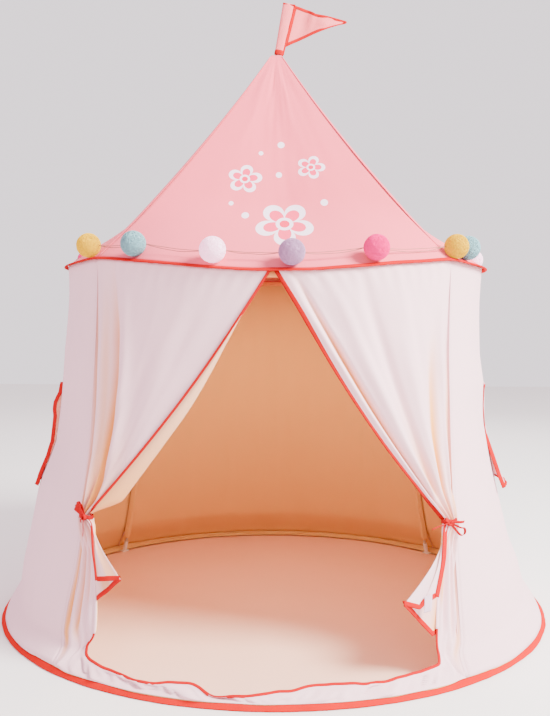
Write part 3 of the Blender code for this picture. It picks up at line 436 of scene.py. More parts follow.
# Painted light: emission colours that make these balls glow, though no lamp is in them.
BALL_LIGHT = {
    "white": (1.3, 0.45, 0.75), "yellow": (0.50, 0.28, 0.0), "grey": (0.18, 0.05, 0.12),
    "pink": (0.40, 0.0, 0.10),
}
THREADS = {name: thread(f"thread_{name}", colour, lit=BALL_LIGHT.get(name)) for name,
           colour in COLOURS.items()}


# The print on the roof

PRINT_FLOWERS = ((0.020, 0.822, 0.058, 0.3), (-0.062, 0.925, 0.036, 1.1), (0.074, 0.952, 0.030, 0.0))
PRINT_DOTS = ((-0.058, 0.842, 0.0075), (0.100, 0.872, 0.0075), (0.008, 0.935, 0.0065),
              (0.012, 1.005, 0.0075),
              (-0.030, 0.985, 0.0050), (-0.088, 0.870, 0.0050))


def print_material():
    """Pink roof cloth with white flowers, drawn by each place's distance and turn from their centres."""
    made = cloth("roof_cloth_print", PINK, inside=ROOF_INSIDE_LIGHT)
    tree = made.node_tree
    shader = tree.nodes["Principled BSDF"]
    place = add(tree, "ShaderNodeTexCoord").outputs["Object"]
    split = add(tree, "ShaderNodeSeparateXYZ", {0: place})
    x, z = split.outputs[0], split.outputs[2]
    tone = shader.inputs["Base Color"].links[0].from_socket
    white, pink, deep = (0.85, 0.64, 0.76), (0.88, 0.045, 0.13), (0.80, 0.010, 0.07)
    for cx, cz, size, spin in PRINT_FLOWERS:
        dx = calc(tree, "SUBTRACT", x, cx)
        dz = calc(tree, "MULTIPLY", calc(tree, "SUBTRACT", z, cz), 1.12)
        far = calc(tree, "SQRT", calc(tree, "ADD", calc(tree, "MULTIPLY", dx, dx),
                                      calc(tree, "MULTIPLY", dz, dz)))
        turn = calc(tree, "ADD", calc(tree, "ARCTAN2", dz, dx), spin)
        petal = calc(tree, "ABSOLUTE", calc(tree, "COSINE", calc(tree, "MULTIPLY", turn, 2.5)))
        petal = calc(tree, "POWER", petal, 0.55)
        outer = calc(tree, "MULTIPLY_ADD", petal, size * 0.55, size * 0.45)
        inner = calc(tree, "MULTIPLY_ADD", petal, size * 0.62, size * 0.12)
        for limit, colour in ((outer, white), (inner, pink), (size * 0.30, white), (size * 0.17, deep)):
            inside_it = calc(tree, "LESS_THAN", far, limit)
            tone = blend_colour(tree, inside_it, tone, colour)
    for cx, cz, size in PRINT_DOTS:
        dx = calc(tree, "SUBTRACT", x, cx)
        dz = calc(tree, "SUBTRACT", z, cz)
        far = calc(tree, "SQRT", calc(tree, "ADD", calc(tree, "MULTIPLY", dx, dx),
                                      calc(tree, "MULTIPLY", dz, dz)))
        tone = blend_colour(tree, calc(tree, "LESS_THAN", far, size), tone, white)
    tree.links.new(tone, shader.inputs["Base Color"])
    return made


ROOF_PRINT = print_material()


# Mesh helpers

def make(name, verts, faces, material, uvs=None, body="tent", smooth_shade=True, slot=None, node=None):
    """A mesh that rides on a body and stands for a CAD node if it has one. The slot argument is not used."""
    mesh = bpy.data.meshes.new(name)
    mesh.from_pydata([tuple(vert) for vert in verts], [], faces)
    if uvs:
        layer = mesh.uv_layers.new(name="Cloth")
        for loop in mesh.loops:
            layer.data[loop.index].uv = uvs[loop.vertex_index]
    mesh.materials.append(material)
    mesh.update()
    if smooth_shade:
        mesh.shade_smooth()
    made = bpy.data.objects.new(name, mesh)
    scene.collection.objects.link(made)
    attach(made, body)
    if node:
        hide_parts(node)
    return made


def thicken(made, thickness):
    shell = made.modifiers.new("Thickness", "SOLIDIFY")
    shell.thickness = thickness
    shell.offset = 0


def lengths(points):
    total = [0.0]
    for here, after in zip(points, points[1:]):
        total.append(total[-1] + (after - here).length)
    return total


def sheet(name, columns, rows, place, material, hole=None, glow=None, thickness=CLOTH, **settings):
    """Cloth on a grid, measured along its middle row and column for its weave."""
    grid = [[Vector(place(column, row)) for column in columns] for row in rows]
    wide, count = len(columns), len(rows)
    across = lengths(grid[count // 2])
    down = lengths([line[wide // 2] for line in grid])
    verts = [point for line in grid for point in line]
    uvs = [(across[i], down[j]) for j in range(count) for i in range(wide)]
    faces = []
    for j in range(count - 1):
        for i in range(wide - 1):
            column, row = (columns[i] + columns[i + 1]) / 2, (rows[j] + rows[j + 1]) / 2
            if not (hole and hole(column, row)):
                faces.append((j * wide + i, j * wide + i + 1, (j + 1) * wide + i + 1, (j + 1) * wide + i))
    made = make(name, verts, faces, material, uvs, **settings)
    if glow:
        values = [min(max(glow(column, row), 0), 1) for row in rows for column in columns]
        made.data.attributes.new("glow", "FLOAT", "POINT").data.foreach_set("value", values)
    thicken(made, thickness)
    return made


def sweep(name, points, sides, outline, material, closed=False, widths=None, **settings):
    """An outline of (side, normal) places carried along the points, each with its side direction."""
    count, ring = len(points), len(outline)
    run = lengths(points + points[:1] if closed else points)
    verts, uvs = [], []
    low = min(place[0] for place in outline)
    spread = max(place[0] for place in outline) - low or 1
    for index, (point, side) in enumerate(zip(points, sides)):
        before = points[index - 1] if closed or index else point
        after = points[(index + 1) % count] if closed or index < count - 1 else point
        tangent = (after - before).normalized()
        side = (side - tangent * side.dot(tangent)).normalized()
        normal = tangent.cross(side).normalized()
        scale = widths[index] if widths else 1
        for across, out in outline:
            verts.append(point + side * across * scale + normal * out)
            uvs.append((run[index], (across - low) / spread))
    faces = []
    for index in range(count if closed else count - 1):
        here, after = index * ring, (index + 1) % count * ring
        for corner in range(ring):
            following = (corner + 1) % ring
            faces.append((here + corner, here + following, after + following, after + corner))
    if not closed:
        faces.append(tuple(range(ring))[::-1])
        faces.append(tuple(range((count - 1) * ring, count * ring)))
    return make(name, verts, faces, material, uvs, **settings)


def oval(width, thick, sides=10, shift=0.0):
    """A rounded flat outline, width along the side direction."""
    places = []
    for index in range(sides):
        turn = TAU * index / sides
        sine, cosine = math.sin(turn), math.cos(turn)
        places.append((
            shift + bulge(cosine, 0.6) * width / 2,
            bulge(sine, 0.8) * thick / 2,
        ))
    return places


def smooth_path(points, count):
    """A path through the points, evenly stepped, by Catmull-Rom."""
    points = [Vector(point) for point in points]
    ends = [points[0] * 2 - points[1]] + points + [points[-1] * 2 - points[-2]]
    fine = []
    for a, b, c, d in zip(ends, ends[1:], ends[2:], ends[3:]):
        for index in range(16):
            t = index / 16
            squared, cubed = 2 * a - 5 * b + 4 * c - d, 3 * b - a - 3 * c + d
            fine.append(0.5 * (2 * b + (c - a) * t + squared * t * t + cubed * t ** 3))
    fine.append(points[-1])
    run = lengths(fine)
    path, index = [], 0
    for step in range(count + 1):
        aim = run[-1] * step / count
        while index < len(run) - 2 and run[index + 1] < aim:
            index += 1
        span = run[index + 1] - run[index] or 1
        path.append(fine[index].lerp(fine[index + 1], min((aim - run[index]) / span, 1)))
    return path


# The roof

def build_roof():
    rows = [0, 0.008, 0.02, 0.035, 0.052, 0.072] + steps(0.095, 1, 44)
    for name, (start, end) in PANELS.items():
        columns = steps(start + SEAM_INSET, end - SEAM_INSET, 72)
        material = ROOF_PRINT if name == "front" else ROOF_CLOTH
        made = sheet(f"roof_{name}", columns, rows, roof_at, material, slot="pink_cloth",
                     node=f"roof_panel_{name}")
    shares = steps(0.004, 0.992, 70)
    for name, side, front in SEAMS:
        angle = side * (POLE_ANGLE if front else BACK_ANGLE)
        points = [roof_at(angle - 1e-6, share, 0.0007) for share in shares]
        widths = [min(1, 0.35 + 1.2 * (1 - share)) for share in shares]
        sweep(f"roof_seam_{name}", points, [sideways(angle)] * len(points), oval(0.008, 0.0014), SEAM_PINK,
              widths=widths)


# The walls

def window_hole(angle, height):
    beside = min(abs(angle - SIDE_ANGLE), abs(angle + SIDE_ANGLE))
    return beside < WINDOW_HALF and WINDOW_LOW < height < WINDOW_HIGH


def build_walls():
    heights = steps(FOOT_LIFT, WINDOW_LOW, 38) + steps(WINDOW_LOW, WINDOW_HIGH, 20)[1:]
    heights += steps(WINDOW_HIGH, EAVE_HEIGHT - 0.0012, 30)[1:]
    for name, width in (("right", 0.83), ("back", 0.96), ("left", 0.83)):
        start, end = PANELS[name]
        if name == "back":
            columns = steps(start + SEAM_INSET, end - SEAM_INSET, 96)
        else:
            middle = (start + end) / 2
            near, far = middle - WINDOW_HALF, middle + WINDOW_HALF
            columns = steps(start + SEAM_INSET, near, 30) + steps(near, far, 24)[1:]
            columns += steps(far, end - SEAM_INSET, 30)[1:]

        def place(angle, height, name=name):
            if name == "back":
                return wall_at(angle, height)
            return wall_at(turned(angle, height), height)

        made = sheet(f"wall_{name}", columns, heights, place, WALL_CLOTH,
                     hole=None if name == "back" else window_hole, slot="white_cloth",
                     node=f"wall_panel_{name}")


def build_wall_seams():
    """A felled seam on the outside, over each pole."""
    heights = steps(0.012, EAVE_HEIGHT - 0.004, 90)
    for name, side, front in SEAMS:

        def angle_at(height):
            return side * (seam_angle(side, height) if front else BACK_ANGLE)

        outer = [wall_at(angle_at(height), height, 0.0009) for height in heights]
        sides = [sideways(angle_at(height)) for height in heights]
        sweep(f"wall_seam_{name}", outer, sides, oval(0.007, 0.0012), SEAM_WHITE)


def build_pockets():
    """Sewn to the inside of each seam, round the pole behind it."""

    def hugging(half, depth, start=0.0010):
        outer = ((-half - 0.003, start + 0.003), (-half, start + 0.004), (-half * 0.9, depth - 0.0030),
                 (-half * 0.5, depth - 0.0006), (0, depth), (half * 0.5, depth - 0.0006),
                 (half * 0.9, depth - 0.0030),
                 (half, start + 0.004), (half + 0.003, start + 0.003))
        inner = [(side * 0.86, out - 0.0007) for side, out in reversed(outer)]
        return list(outer) + inner

    for name, side, front in SEAMS:
        points, sides = [], []
        for height in steps(0.045, 0.700, 90):
            angle = side * (pole_angle(side, height) if front else BACK_ANGLE)
            points.append(around(angle, wall_radius(height), height))
            sides.append(sideways(angle))
        sweep(f"pole_pocket_{name}", points, sides, hugging(0.0062, 0.0152), WALL_CLOTH,
              slot="white_cloth")
        angle = side * (POLE_ANGLE if front else BACK_ANGLE)
        points = [around(angle, ridge_radius(share), mix(EAVE_HEIGHT, APEX_HEIGHT, share))
                  for share in steps(0.09, 0.88, 60)]
        sweep(f"roof_pocket_{name}", points, [sideways(angle)] * len(points),
              hugging(0.0056, 0.0190, 0.0085), ROOF_CLOTH, slot="pink_cloth")


# The doorway's band, from one tie down, along the sill, and up to the other

EDGE_PATH = (
    (-41.9, 0.262), (-39.4, 0.200), (-36.9, 0.130), (-35.4, 0.072), (-36.6, 0.046), (-34.6, 0.033),
    (-27.0, 0.027), (-21.0, 0.024), (-13.6, 0.030), (-8.2, 0.018), (0.0, 0.025), (3.5, 0.026), (8.5, 0.032),
    (17.4, 0.029), (24.0, 0.031), (29.5, 0.034), (31.9, 0.040), (32.3, 0.072), (34.6, 0.150), (37.0, 0.210),
    (38.6, 0.262),
)
EDGE_STEPS = 240
EDGE_ARM = 0.52  # metres along the wall for each radian, so that the steps are even


def edge_places():
    """The band's inner edge, as (angle, height) at even steps."""
    flat = [Vector((rad(angle) * EDGE_ARM, height, 0)) for angle, height in EDGE_PATH]
    return [Vector((point.x / EDGE_ARM, point.y, 0)) for point in smooth_path(flat, EDGE_STEPS)]


EDGE = edge_places()


def band_point(index, share):
    """index runs along the inner edge, share from it to the seams and the foot."""
    inner = EDGE[index]
    angle, height = inner.x, inner.y
    side = 1 if angle > 0 else -1
    corner = smooth((height - 0.035) / 0.05)
    below = Vector((angle * mix(1.0, 1.13, smooth(abs(angle) / rad(30))), FOOT_LIFT, 0))
    seam_height = mix(FOOT_LIFT, height, smooth((height - 0.03) / 0.10))
    aside = Vector((side * (seam_angle(side, seam_height) - BAND_INSET), seam_height, 0))
    outer = below.lerp(aside, corner)
    limit = seam_angle(side, max(outer.y, 0)) - BAND_INSET
    if abs(outer.x) > limit:
        outer.x = side * limit
    return inner.lerp(outer, share)


BAND_FOLDS = {
    # The band's folds beside the doorway: their place from the free edge to the seam, width and height
    -1: ((0.13, 0.08, 0.0045), (0.28, 0.06, -0.0050), (0.40, 0.06, 0.0035), (0.53, 0.070, -0.0095),
         (0.66, 0.06, 0.0050), (0.84, 0.065, -0.0095)),
    1: ((0.12, 0.08, 0.0045), (0.28, 0.06, -0.0055), (0.44, 0.08, 0.0050), (0.62, 0.07, -0.0050),
        (0.73, 0.05, 0.0035),
        (0.85, 0.060, -0.0110)),
}
BAND_GLOWS = {
    # Where painted warm light shows in the band's folds: place, width, strength, and the height where it
    # starts
    -1: ((0.28, 0.06, 0.40, 0.10), (0.53, 0.065, 0.90, 0.04), (0.88, 0.085, 1.0, 0.012)),
    1: ((0.12, 0.07, 0.75, 0.11), (0.62, 0.06, 0.18, 0.04), (0.88, 0.085, 0.60, 0.012)),
}


def fold_drift(index):
    """The folds wander a little on their way down."""
    return 0.03 * math.sin(index * 0.11)


def band_fold(index, share):
    side = 1 if EDGE[index].x > 0 else -1
    moved = share + fold_drift(index)
    total = sum(height * math.exp(-((moved - place) / width) ** 2) for place, width,
                height in BAND_FOLDS[side])
    return total * (1 - smooth((share - 0.92) / 0.08))


def band_glow(index, share):
    """Warm light shows through the folds beside the doorway, most of all along the seam."""
    side = 1 if EDGE[index].x > 0 else -1
    moved = share + fold_drift(index)
    height = band_point(index, share).y
    return sum(
        strength * smooth((height - start) / 0.04) * math.exp(-((moved - place) / width) ** 2)
        for place, width, strength, start in BAND_GLOWS[side]
    )


def band_at(index, share):
    place = band_point(index, share)
    angle, height = place.x, place.y
    upright = smooth((height - 0.04) / 0.06)
    gather = smooth((height - 0.06) / 0.20)
    folds = band_fold(index, share) * mix(0.80, 1.0, gather) * upright
    sill = (1 - upright) * smooth((share - 0.10) * 3.5) * smooth((1 - share) * 3)
    slant = share * (1.2 if angle > 0 else -1.2)
    crease = max(1 - abs(rough(angle * 19 + slant, share * 0.4, 12)) * 6, 0)
    bunch = 0.0110 * rough(angle * 15 + slant, share * 0.5, 3)
    bunch += 0.0050 * rough(angle * 44 + slant, share * 0.9, 6)
    lip = (1 - upright) * 0.0022 * rough(angle * 14, 0, 1) * (1 - share)
    point = wall_at(angle, height, folds + sill * (bunch - 0.0045 * crease) + lip)
    point.z += (1 - upright) * 0.0018 * rough(angle * 22, 2.0, 5) * (1 - share)
    return point


def build_band():
    columns = list(range(EDGE_STEPS + 1))
    rows = steps(0, 1, 40)
    made = sheet("door_band", columns, rows, band_at, BAND_CLOTH, glow=band_glow, slot="white_cloth",
                 node="door_sill_panel")
    points, sides = [], []
    for index in columns:
        point = band_at(index, 0)
        points.append(point + outward(point) * 0.0004)
        sides.append(band_at(index, 0.25) - point)
    low = [index for index in columns if EDGE[index].y < (0.080 if EDGE[index].x < 0 else 0.093)]
    first, last = low[0], low[-1] + 1
    sweep("door_edge", points[first:last], sides[first:last], oval(0.0056, 0.0028, shift=0.0010),
          CORAL_TAPE, slot="coral_cloth", node="door_edge_tape")
    for name, stretch in (("left", slice(0, first + 2)), ("right", slice(last - 2, None))):
        sweep(f"door_roll_{name}", points[stretch], sides[stretch], oval(0.0070, 0.0050),
              CURTAIN_CLOTH, slot="white_cloth")


# The curtains

FOLDS = {
    # Each ridge, or valley if its height is negative: its place across at the eave and at the tie, its width,
    # its height, and the share of the way down where it starts
    -1: ((0.023, 0.070, 0.012, -0.0125, 0.02), (0.080, 0.24, 0.028, 0.0065, 0.0),
         (0.150, 0.58, 0.029, -0.0135, 0.03),
         (0.240, 0.74, 0.040, 0.0060, 0.05), (0.42, 0.80, 0.080, -0.0035, 0.25),
         (0.60, 0.86, 0.080, 0.0030, 0.15),
         (0.80, 0.92, 0.050, -0.0028, 0.35)),
    1: ((0.035, 0.045, 0.024, -0.0070, 0.0), (0.085, 0.14, 0.026, 0.0050, 0.15),
        (0.11, 0.44, 0.045, -0.0095, 0.22),
        (0.40, 0.55, 0.055, 0.0050, 0.0), (0.60, 0.67, 0.050, -0.0100, 0.0),
        (0.77, 0.79, 0.040, 0.0060, 0.0),
        (0.925, 0.865, 0.018, -0.0150, 0.02), (0.960, 0.93, 0.020, 0.0055, 0.02)),
}
GLOWS = {
    # Where warm light shows through: place across at the eave and at the tie, width, strength, and start
    -1: ((0.024, 0.072, 0.013, 1.0, 0.04), (0.095, 0.36, 0.042, 0.45, 0.08),
         (0.148, 0.58, 0.026, 0.70, 0.05),
         (0.145, 0.52, 0.055, 0.70, 0.45), (0.42, 0.80, 0.060, 0.22, 0.60)),
    1: ((0.035, 0.045, 0.022, 0.50, 0.32), (0.11, 0.44, 0.042, 1.0, 0.30), (0.60, 0.67, 0.040, 0.30, 0.50),
        (0.925, 0.865, 0.013, 1.0, 0.04)),
}
TIE_SPAN = {-1: (rad(45.0), rad(41.8)), 1: (rad(41.7), rad(38.3))}
SEWN_SHARE = 0.10


def tie_angle(side, across):
    """Where a strand passes the tie: the outer ones run to the seam, the others gather in the ribbon."""
    outer, inner = TIE_SPAN[side]
    if across < SEWN_SHARE:
        return mix(seam_angle(side, TIE_HEIGHT) - rad(0.15), outer, across / SEWN_SHARE)
    return mix(outer, inner, (across - SEWN_SHARE) / (1 - SEWN_SHARE))


def swing(side, across, down, lapel):
    """How far a strand has swung from the eave to the tie: the free edge hangs out into the doorway."""
    if side > 0:
        bow = 0.055 * math.sin(math.pi * down ** 1.3)
    elif lapel:
        bow = 0.050 * math.sin(math.pi * down)
    else:
        bow = 0.120 * smooth(down / 0.62) * (1 - smooth((down - 0.93) / 0.07))
    return down - bow * across ** 3


def curtain_upper(side, across, down, lapel=False):
    angle = mix(rad(47.9), rad(0.5), across)
    top = around(angle, EAVE_RADIUS + CURTAIN_STANDOFF, eave_height(angle) + eave_rise(angle) - 0.0024)
    tie_radius = wall_radius(TIE_HEIGHT) + TIE_STANDOFF
    tie = around(tie_angle(side, across), tie_radius, TIE_HEIGHT + 0.004)
    moved = swing(side, across, down, lapel)
    point = Vector((mix(top.x, tie.x, moved), mix(top.y, tie.y, moved), mix(top.z, tie.z, down)))
    hugged = wall_radius(point.z) + 0.0030
    flat = mix(EAVE_RADIUS + CURTAIN_STANDOFF, tie_radius, down)
    point += outward(point) * min(hugged - flat, 0) * (1 - across) ** 2
    sewn = wall_at(side * (seam_angle(side, point.z) - rad(0.10)), point.z, 0.0012)
    sewn = Vector((abs(sewn.x), sewn.y, point.z))
    return point.lerp(sewn, 1 - smooth(across / SEWN_SHARE))


def banded(table, across, down, power=1.3):
    """The sum of a table's bands at a place on the curtain, each growing wider on the way down."""
    total = 0
    for top, low, width, height, start in table:
        place = mix(top, low, down ** power)
        grown = smooth((down - start + 0.10) / 0.45)
        total += height * grown * math.exp(-((across - place) / (width * mix(0.8, 1.9, down))) ** 2)
    return total


def gathers(across):
    """The small folds that the tie draws the cloth into, from -1 to 1."""
    return math.sin(across * TAU * 4.5 + 0.6)


def fold_height(side, across, down):
    total = banded(FOLDS[side], across, down)
    spread = 1 - smooth((down - 0.84) / 0.16)
    late = 0.70 if side < 0 else 0.86
    gathered = 0.0062 * gathers(across) * smooth((down - late) / (1 - late))
    if side < 0:
        gathered *= 1 - smooth((across - 0.72) / 0.16)
    ripple = 0.0014 * rough(across * 16, down * 1.3, 11 + side) * smooth(down * 5)
    pull = 0.0016 * rough(across * 7 + down * 5, across * 2 - down * 2, 3 - side) * smooth(down * 4)
    heading = 0.0009 * math.sin(across * TAU * 13) * (1 - smooth(down / 0.14)) * smooth(down / 0.02)
    return (total * spread + gathered + (ripple + pull) * spread + heading) * smooth(across / 0.03)


def curtain_glow(side):
    """Warm light from inside shows through the valleys of the folds."""

    def value(across, down):
        if down > 1:
            folded = 0.20 + 0.50 * smooth(0.5 - gathers(across) * 0.6)
            if side < 0:
                return folded
            streak = 0.8 * math.exp(-((across - 0.43) / 0.07) ** 2)
            return folded * smooth((0.62 - across) / 0.10) * 0.5 + streak
        low = smooth((down - 0.62) / 0.35) * (1 - smooth((across - 0.80) / 0.12))
        deep = smooth(-fold_height(side, across, down) / 0.0075 - 0.3)
        return banded(GLOWS[side], across, down) + (0.16 + 0.30 * deep) * low

    return value


# Where each strand of the curtain's hem hangs: (across, angle, height, how far it stands off the wall)
HEMS = {
    -1: ((1.0, 35.1, 0.167, 0.020), (0.86, 32.4, 0.172, 0.020), (0.74, 29.7, 0.175, 0.015),
         (0.58, 33.6, 0.146, 0.007),
         (0.44, 36.2, 0.128, 0.000), (0.30, 39.0, 0.120, -0.008), (0.15, 41.0, 0.118, -0.010),
         (0.0, 43.0, 0.116, -0.010)),
    1: ((1.0, 31.9, 0.149, 0.021), (0.90, 29.2, 0.142, 0.020), (0.83, 28.0, 0.134, 0.019),
        (0.74, 25.0, 0.143, 0.013),
        (0.60, 28.2, 0.113, 0.005), (0.46, 31.4, 0.080, -0.002), (0.30, 35.0, 0.078, -0.009),
        (0.15, 37.0, 0.076, -0.010),
        (0.0, 39.5, 0.076, -0.010)),
}


def curtain_lower(side, across, down):
    start = tie_angle(side, across)
    table = sorted(HEMS[side])
    hem_angle = rad(table_value([(row[0], row[1]) for row in table], across))
    hem_height = table_value([(row[0], row[2]) for row in table], across)
    stand = table_value([(row[0], row[3]) for row in table], across)
    height = mix(TIE_HEIGHT - 0.004, hem_height, down)
    if side < 0:
        speed = mix(0.9, 0.6, smooth((across - 0.8) / 0.2))
    else:
        speed = 0.9 + 0.35 * math.exp(-((across - 0.74) / 0.14) ** 2)
    angle = mix(start, hem_angle, down ** speed)
    off = mix(TIE_STANDOFF, stand, smooth(down * 1.6))
    inner_face = 0.0062 * mix(1, 0.35, smooth(down * 1.5))
    wave = gathers(across) * inner_face * (1 - 0.75 * smooth((across - 0.6) * 4) * smooth(down * 3))
    return around(angle, wall_radius(height) + off + wave, height)


def curtain_at(side):
    """A curtain's places: down runs from 0 to 1 from the eave to the tie, and from 2 to 3 below it."""

    def place(across, down):
        if down <= 1:
            point = curtain_upper(side, across, down)
            point = point + outward(point) * fold_height(side, across, down)
        else:
            point = curtain_lower(side, across, down - 2)
        return Vector((side * point.x, point.y, point.z))

    return place


def build_curtains():
    for name, side in (("left", -1), ("right", 1)):
        place = curtain_at(side)
        columns = steps(0, 1, 170)
        rows = steps(0, 0.1, 8) + steps(0.1, 1, 72)[1:] + steps(2, 3, 34)
        made = sheet(f"curtain_cloth_{name}", columns, rows, place, CURTAIN_CLOTH, glow=curtain_glow(side),
                     slot="white_cloth", node=f"curtain_{name}")
        downs = steps(0, 1, 90)
        if side < 0:
            pieces = [build_lapel(place)]
            edge = [lapel_edge(down) for down in downs]
        else:
            pieces = [build_label()]
            edge = [place(1, down) for down in downs]
        edge = [point + outward(point) * 0.0012 for point in edge]
        inner_side = [place(0.9, down) - place(1, down) for down in downs]
        # The right curtain's edge takes the darker tape, painted shade.
        wide, binding = (0.0050, CORAL_TAPE) if side < 0 else (0.0120, SHADED_CORAL_TAPE)
        widths = [1 if side < 0 else mix(0.60, 1, smooth(down / 0.4)) for down in downs]
        pieces.append(sweep(f"curtain_edge_{name}", edge, inner_side, oval(wide, 0.0026, shift=0.0018),
                            binding,
                            widths=widths, slot="coral_cloth"))
        lower = [place(1, down) for down in steps(2, 3, 30)]
        lower_side = [Matrix.Rotation(side * rad(36), 3, "Z") @ Vector((side, 0, 0))] * 31
        lower = [point + outward(point) * mix(0.0070, 0.0010, smooth(down * 1.5)) for point, down in
                 zip(lower, steps(0, 1, 30))]
        wide = 0.0048 if side < 0 else 0.0100
        pieces.append(sweep(f"curtain_drop_{name}", lower, lower_side, oval(wide, 0.0026, shift=0.0018),
                            CORAL_TAPE, slot="coral_cloth"))
        across = steps(1, 0, 120)
        hem = [place(value, 3) for value in across]
        hem_side = [place(value, 2.9) - place(value, 3) for value in across]
        pieces.append(sweep(f"curtain_hem_{name}", hem, hem_side, oval(0.0090, 0.0028, shift=0.0022),
                            CORAL_TAPE, slot="coral_cloth"))


def build_label():
    """A blank label sewn into the right curtain's hem."""
    centre = around(rad(29.9), wall_radius(0.150) + 0.0235, 0.150)
    out, along = outward(centre), sideways(rad(29.7))

    def label_at(across, down):
        x, z = across - 0.15 * down, -down + 0.15 * across
        curl = 0.0022 * math.sin(down * 90) + 0.0010 * math.sin(across * 200)
        return centre + along * x + UP * z + out * curl

    return sheet("curtain_label", steps(-0.0075, 0.0075, 8), steps(-0.004, 0.024, 12), label_at, LABEL,
                 thickness=0.0004, slot="white_cloth")


def lapel_edge(down):
    point = curtain_upper(-1, 1, down, lapel=True)
    lift = 0.0055 * smooth(down * 4) * (1 - smooth((down - 0.95) / 0.05))
    point = point + outward(point) * (fold_height(-1, 1, down) + lift)
    return Vector((-point.x, point.y, point.z))


def build_lapel(place):
    """The free edge is turned back outward, so a strip of the inner face shows beside the tape."""

    def lapel(share, down):
        fold = place(1, down)
        edge = lapel_edge(down)
        point = fold.lerp(edge, share)
        swell = 0.0055 * math.sin(math.pi * share) * smooth(down * 3)
        return point + outward(point) * (0.0010 + swell)

    # Painted light: glow adds warm light through the lapel, stronger towards its bottom.
    return sheet("curtain_lapel", steps(0, 1, 12), steps(0.02, 0.99, 80), lapel, LAPEL_CLOTH,
                 glow=lambda share, down: 0.25 + 0.5 * smooth((down - 0.5) * 2), slot="white_cloth")


# The ribbons

def flat_loop(x, y, width, out=8):
    """A loop pressed flat, out to (x, y) and back behind itself, with its width across its own direction."""
    path = ((0, 0, 2), (0.45 * x, 0.5 * y, out - 2), (0.9 * x, 0.93 * y, out), (x, y, out - 2),
            (0.9 * x, 0.92 * y, out - 4), (0.4 * x, 0.45 * y, 2), (0, 0, 1))
    return path, (-y, x, 0.15 * (abs(x) + abs(y))), width


BOWS = {
    # Paths of (across, up, out) from the knot, in millimetres, with across growing to the viewer's right,
    # then the direction of the ribbon's width, and the width
    -1: {"loop_a": flat_loop(-5, 25, 6.0, 9), "loop_b": flat_loop(-13, 28, 7.0, 8),
         "loop_c": flat_loop(-20, 22, 7.0, 7),
         "loop_d": flat_loop(-26, 14, 6.0, 6),
         "tail_a": (((0, -2, 3), (1.5, -12, 5), (1.5, -24, 5), (0.5, -35, 5)), (1, 0.1, 0.4), 3.6),
         "tail_b": (((-2, 1, 4), (-5, -5, 6), (-6, -10, 5)), (1, 0.2, 0.3), 6.0)},
    1: {"loop_a": (((0, 0, 2), (10, -5, 7), (22, -11, 9), (35, -15, 9), (36, -25, 8), (27, -26, 6),
                    (11, -11, 4), (0, 0, 2)),
                   (0.3, 0.7, 1), 5.0),
        "loop_b": flat_loop(-14, 8, 7.0, 6),
        "tail_a": (((2, 0, 4), (14, 0, 7), (26, -2, 7), (37, -3, 6)), (0, 1, 0.3), 5.5),
        "tail_b": (((-2, 0, 3), (-18, -1, 5), (-34, -2, 5), (-50, -5, 4)), (0.05, 1, 0.5), 2.6)},
}
KNOT_SHIFT = {-1: 0.008, 1: -0.012}


def build_ties():
    for name, side in (("left", -1), ("right", 1)):
        outer, inner = TIE_SPAN[side]
        middle = side * (outer + inner) / 2
        radius = wall_radius(TIE_HEIGHT) + TIE_STANDOFF
        centre = around(middle, radius, TIE_HEIGHT)
        out, along = outward(centre), sideways(middle)
        half = radius * (outer - inner) / 2 + 0.0022
        turns = steps(0, TAU, 48)[:-1]
        band = []
        for turn in turns:
            c, s = math.cos(turn), math.sin(turn)
            flat = bulge(s, 0.7) * half
            deep = bulge(c, 0.7) * 0.0085
            band.append(centre + out * deep + along * flat + UP * 0.0008 * math.sin(3 * turn))
        sweep(f"tie_band_{name}", band, [UP] * len(band), oval(0.0075, 0.0014, sides=8), RIBBON,
              closed=True, slot="coral_cloth", node=f"curtain_tie_{name}")
        knot = centre + out * 0.0105 + along * KNOT_SHIFT[side]
        spins = steps(0, TAU, 24)[:-1]
        turns = [knot + along * 0.0036 * math.cos(spin) + UP * 0.0042 * math.sin(spin) for spin in spins]
        sweep(f"tie_knot_{name}", turns, [out] * len(turns), oval(0.0070, 0.0036, sides=10), RIBBON,
              closed=True, slot="coral_cloth")
        for part, (path, (a, b, c), width) in BOWS[side].items():
            places = [knot + (along * x + UP * y + out * (z - 2)) / 1000 for x, y, z in path]
            path = smooth_path(places, 40)
            wide = along * a + UP * b + out * c
            sweep(f"tie_{part}_{name}", path, [wide] * len(path),
                  oval(width / 1000, 0.0011, sides=8), RIBBON, slot="coral_cloth")


# Eave tape and base band

RIM_RADIUS = 0.5999
# The rim's upper face, as (radius, height)
RIM_TOP = ((0.575, 0.0098), (0.5885, 0.0104), (0.5920, 0.0102), (0.5945, 0.0084), (0.5975, 0.0050),
           (RIM_RADIUS, 0.0018))


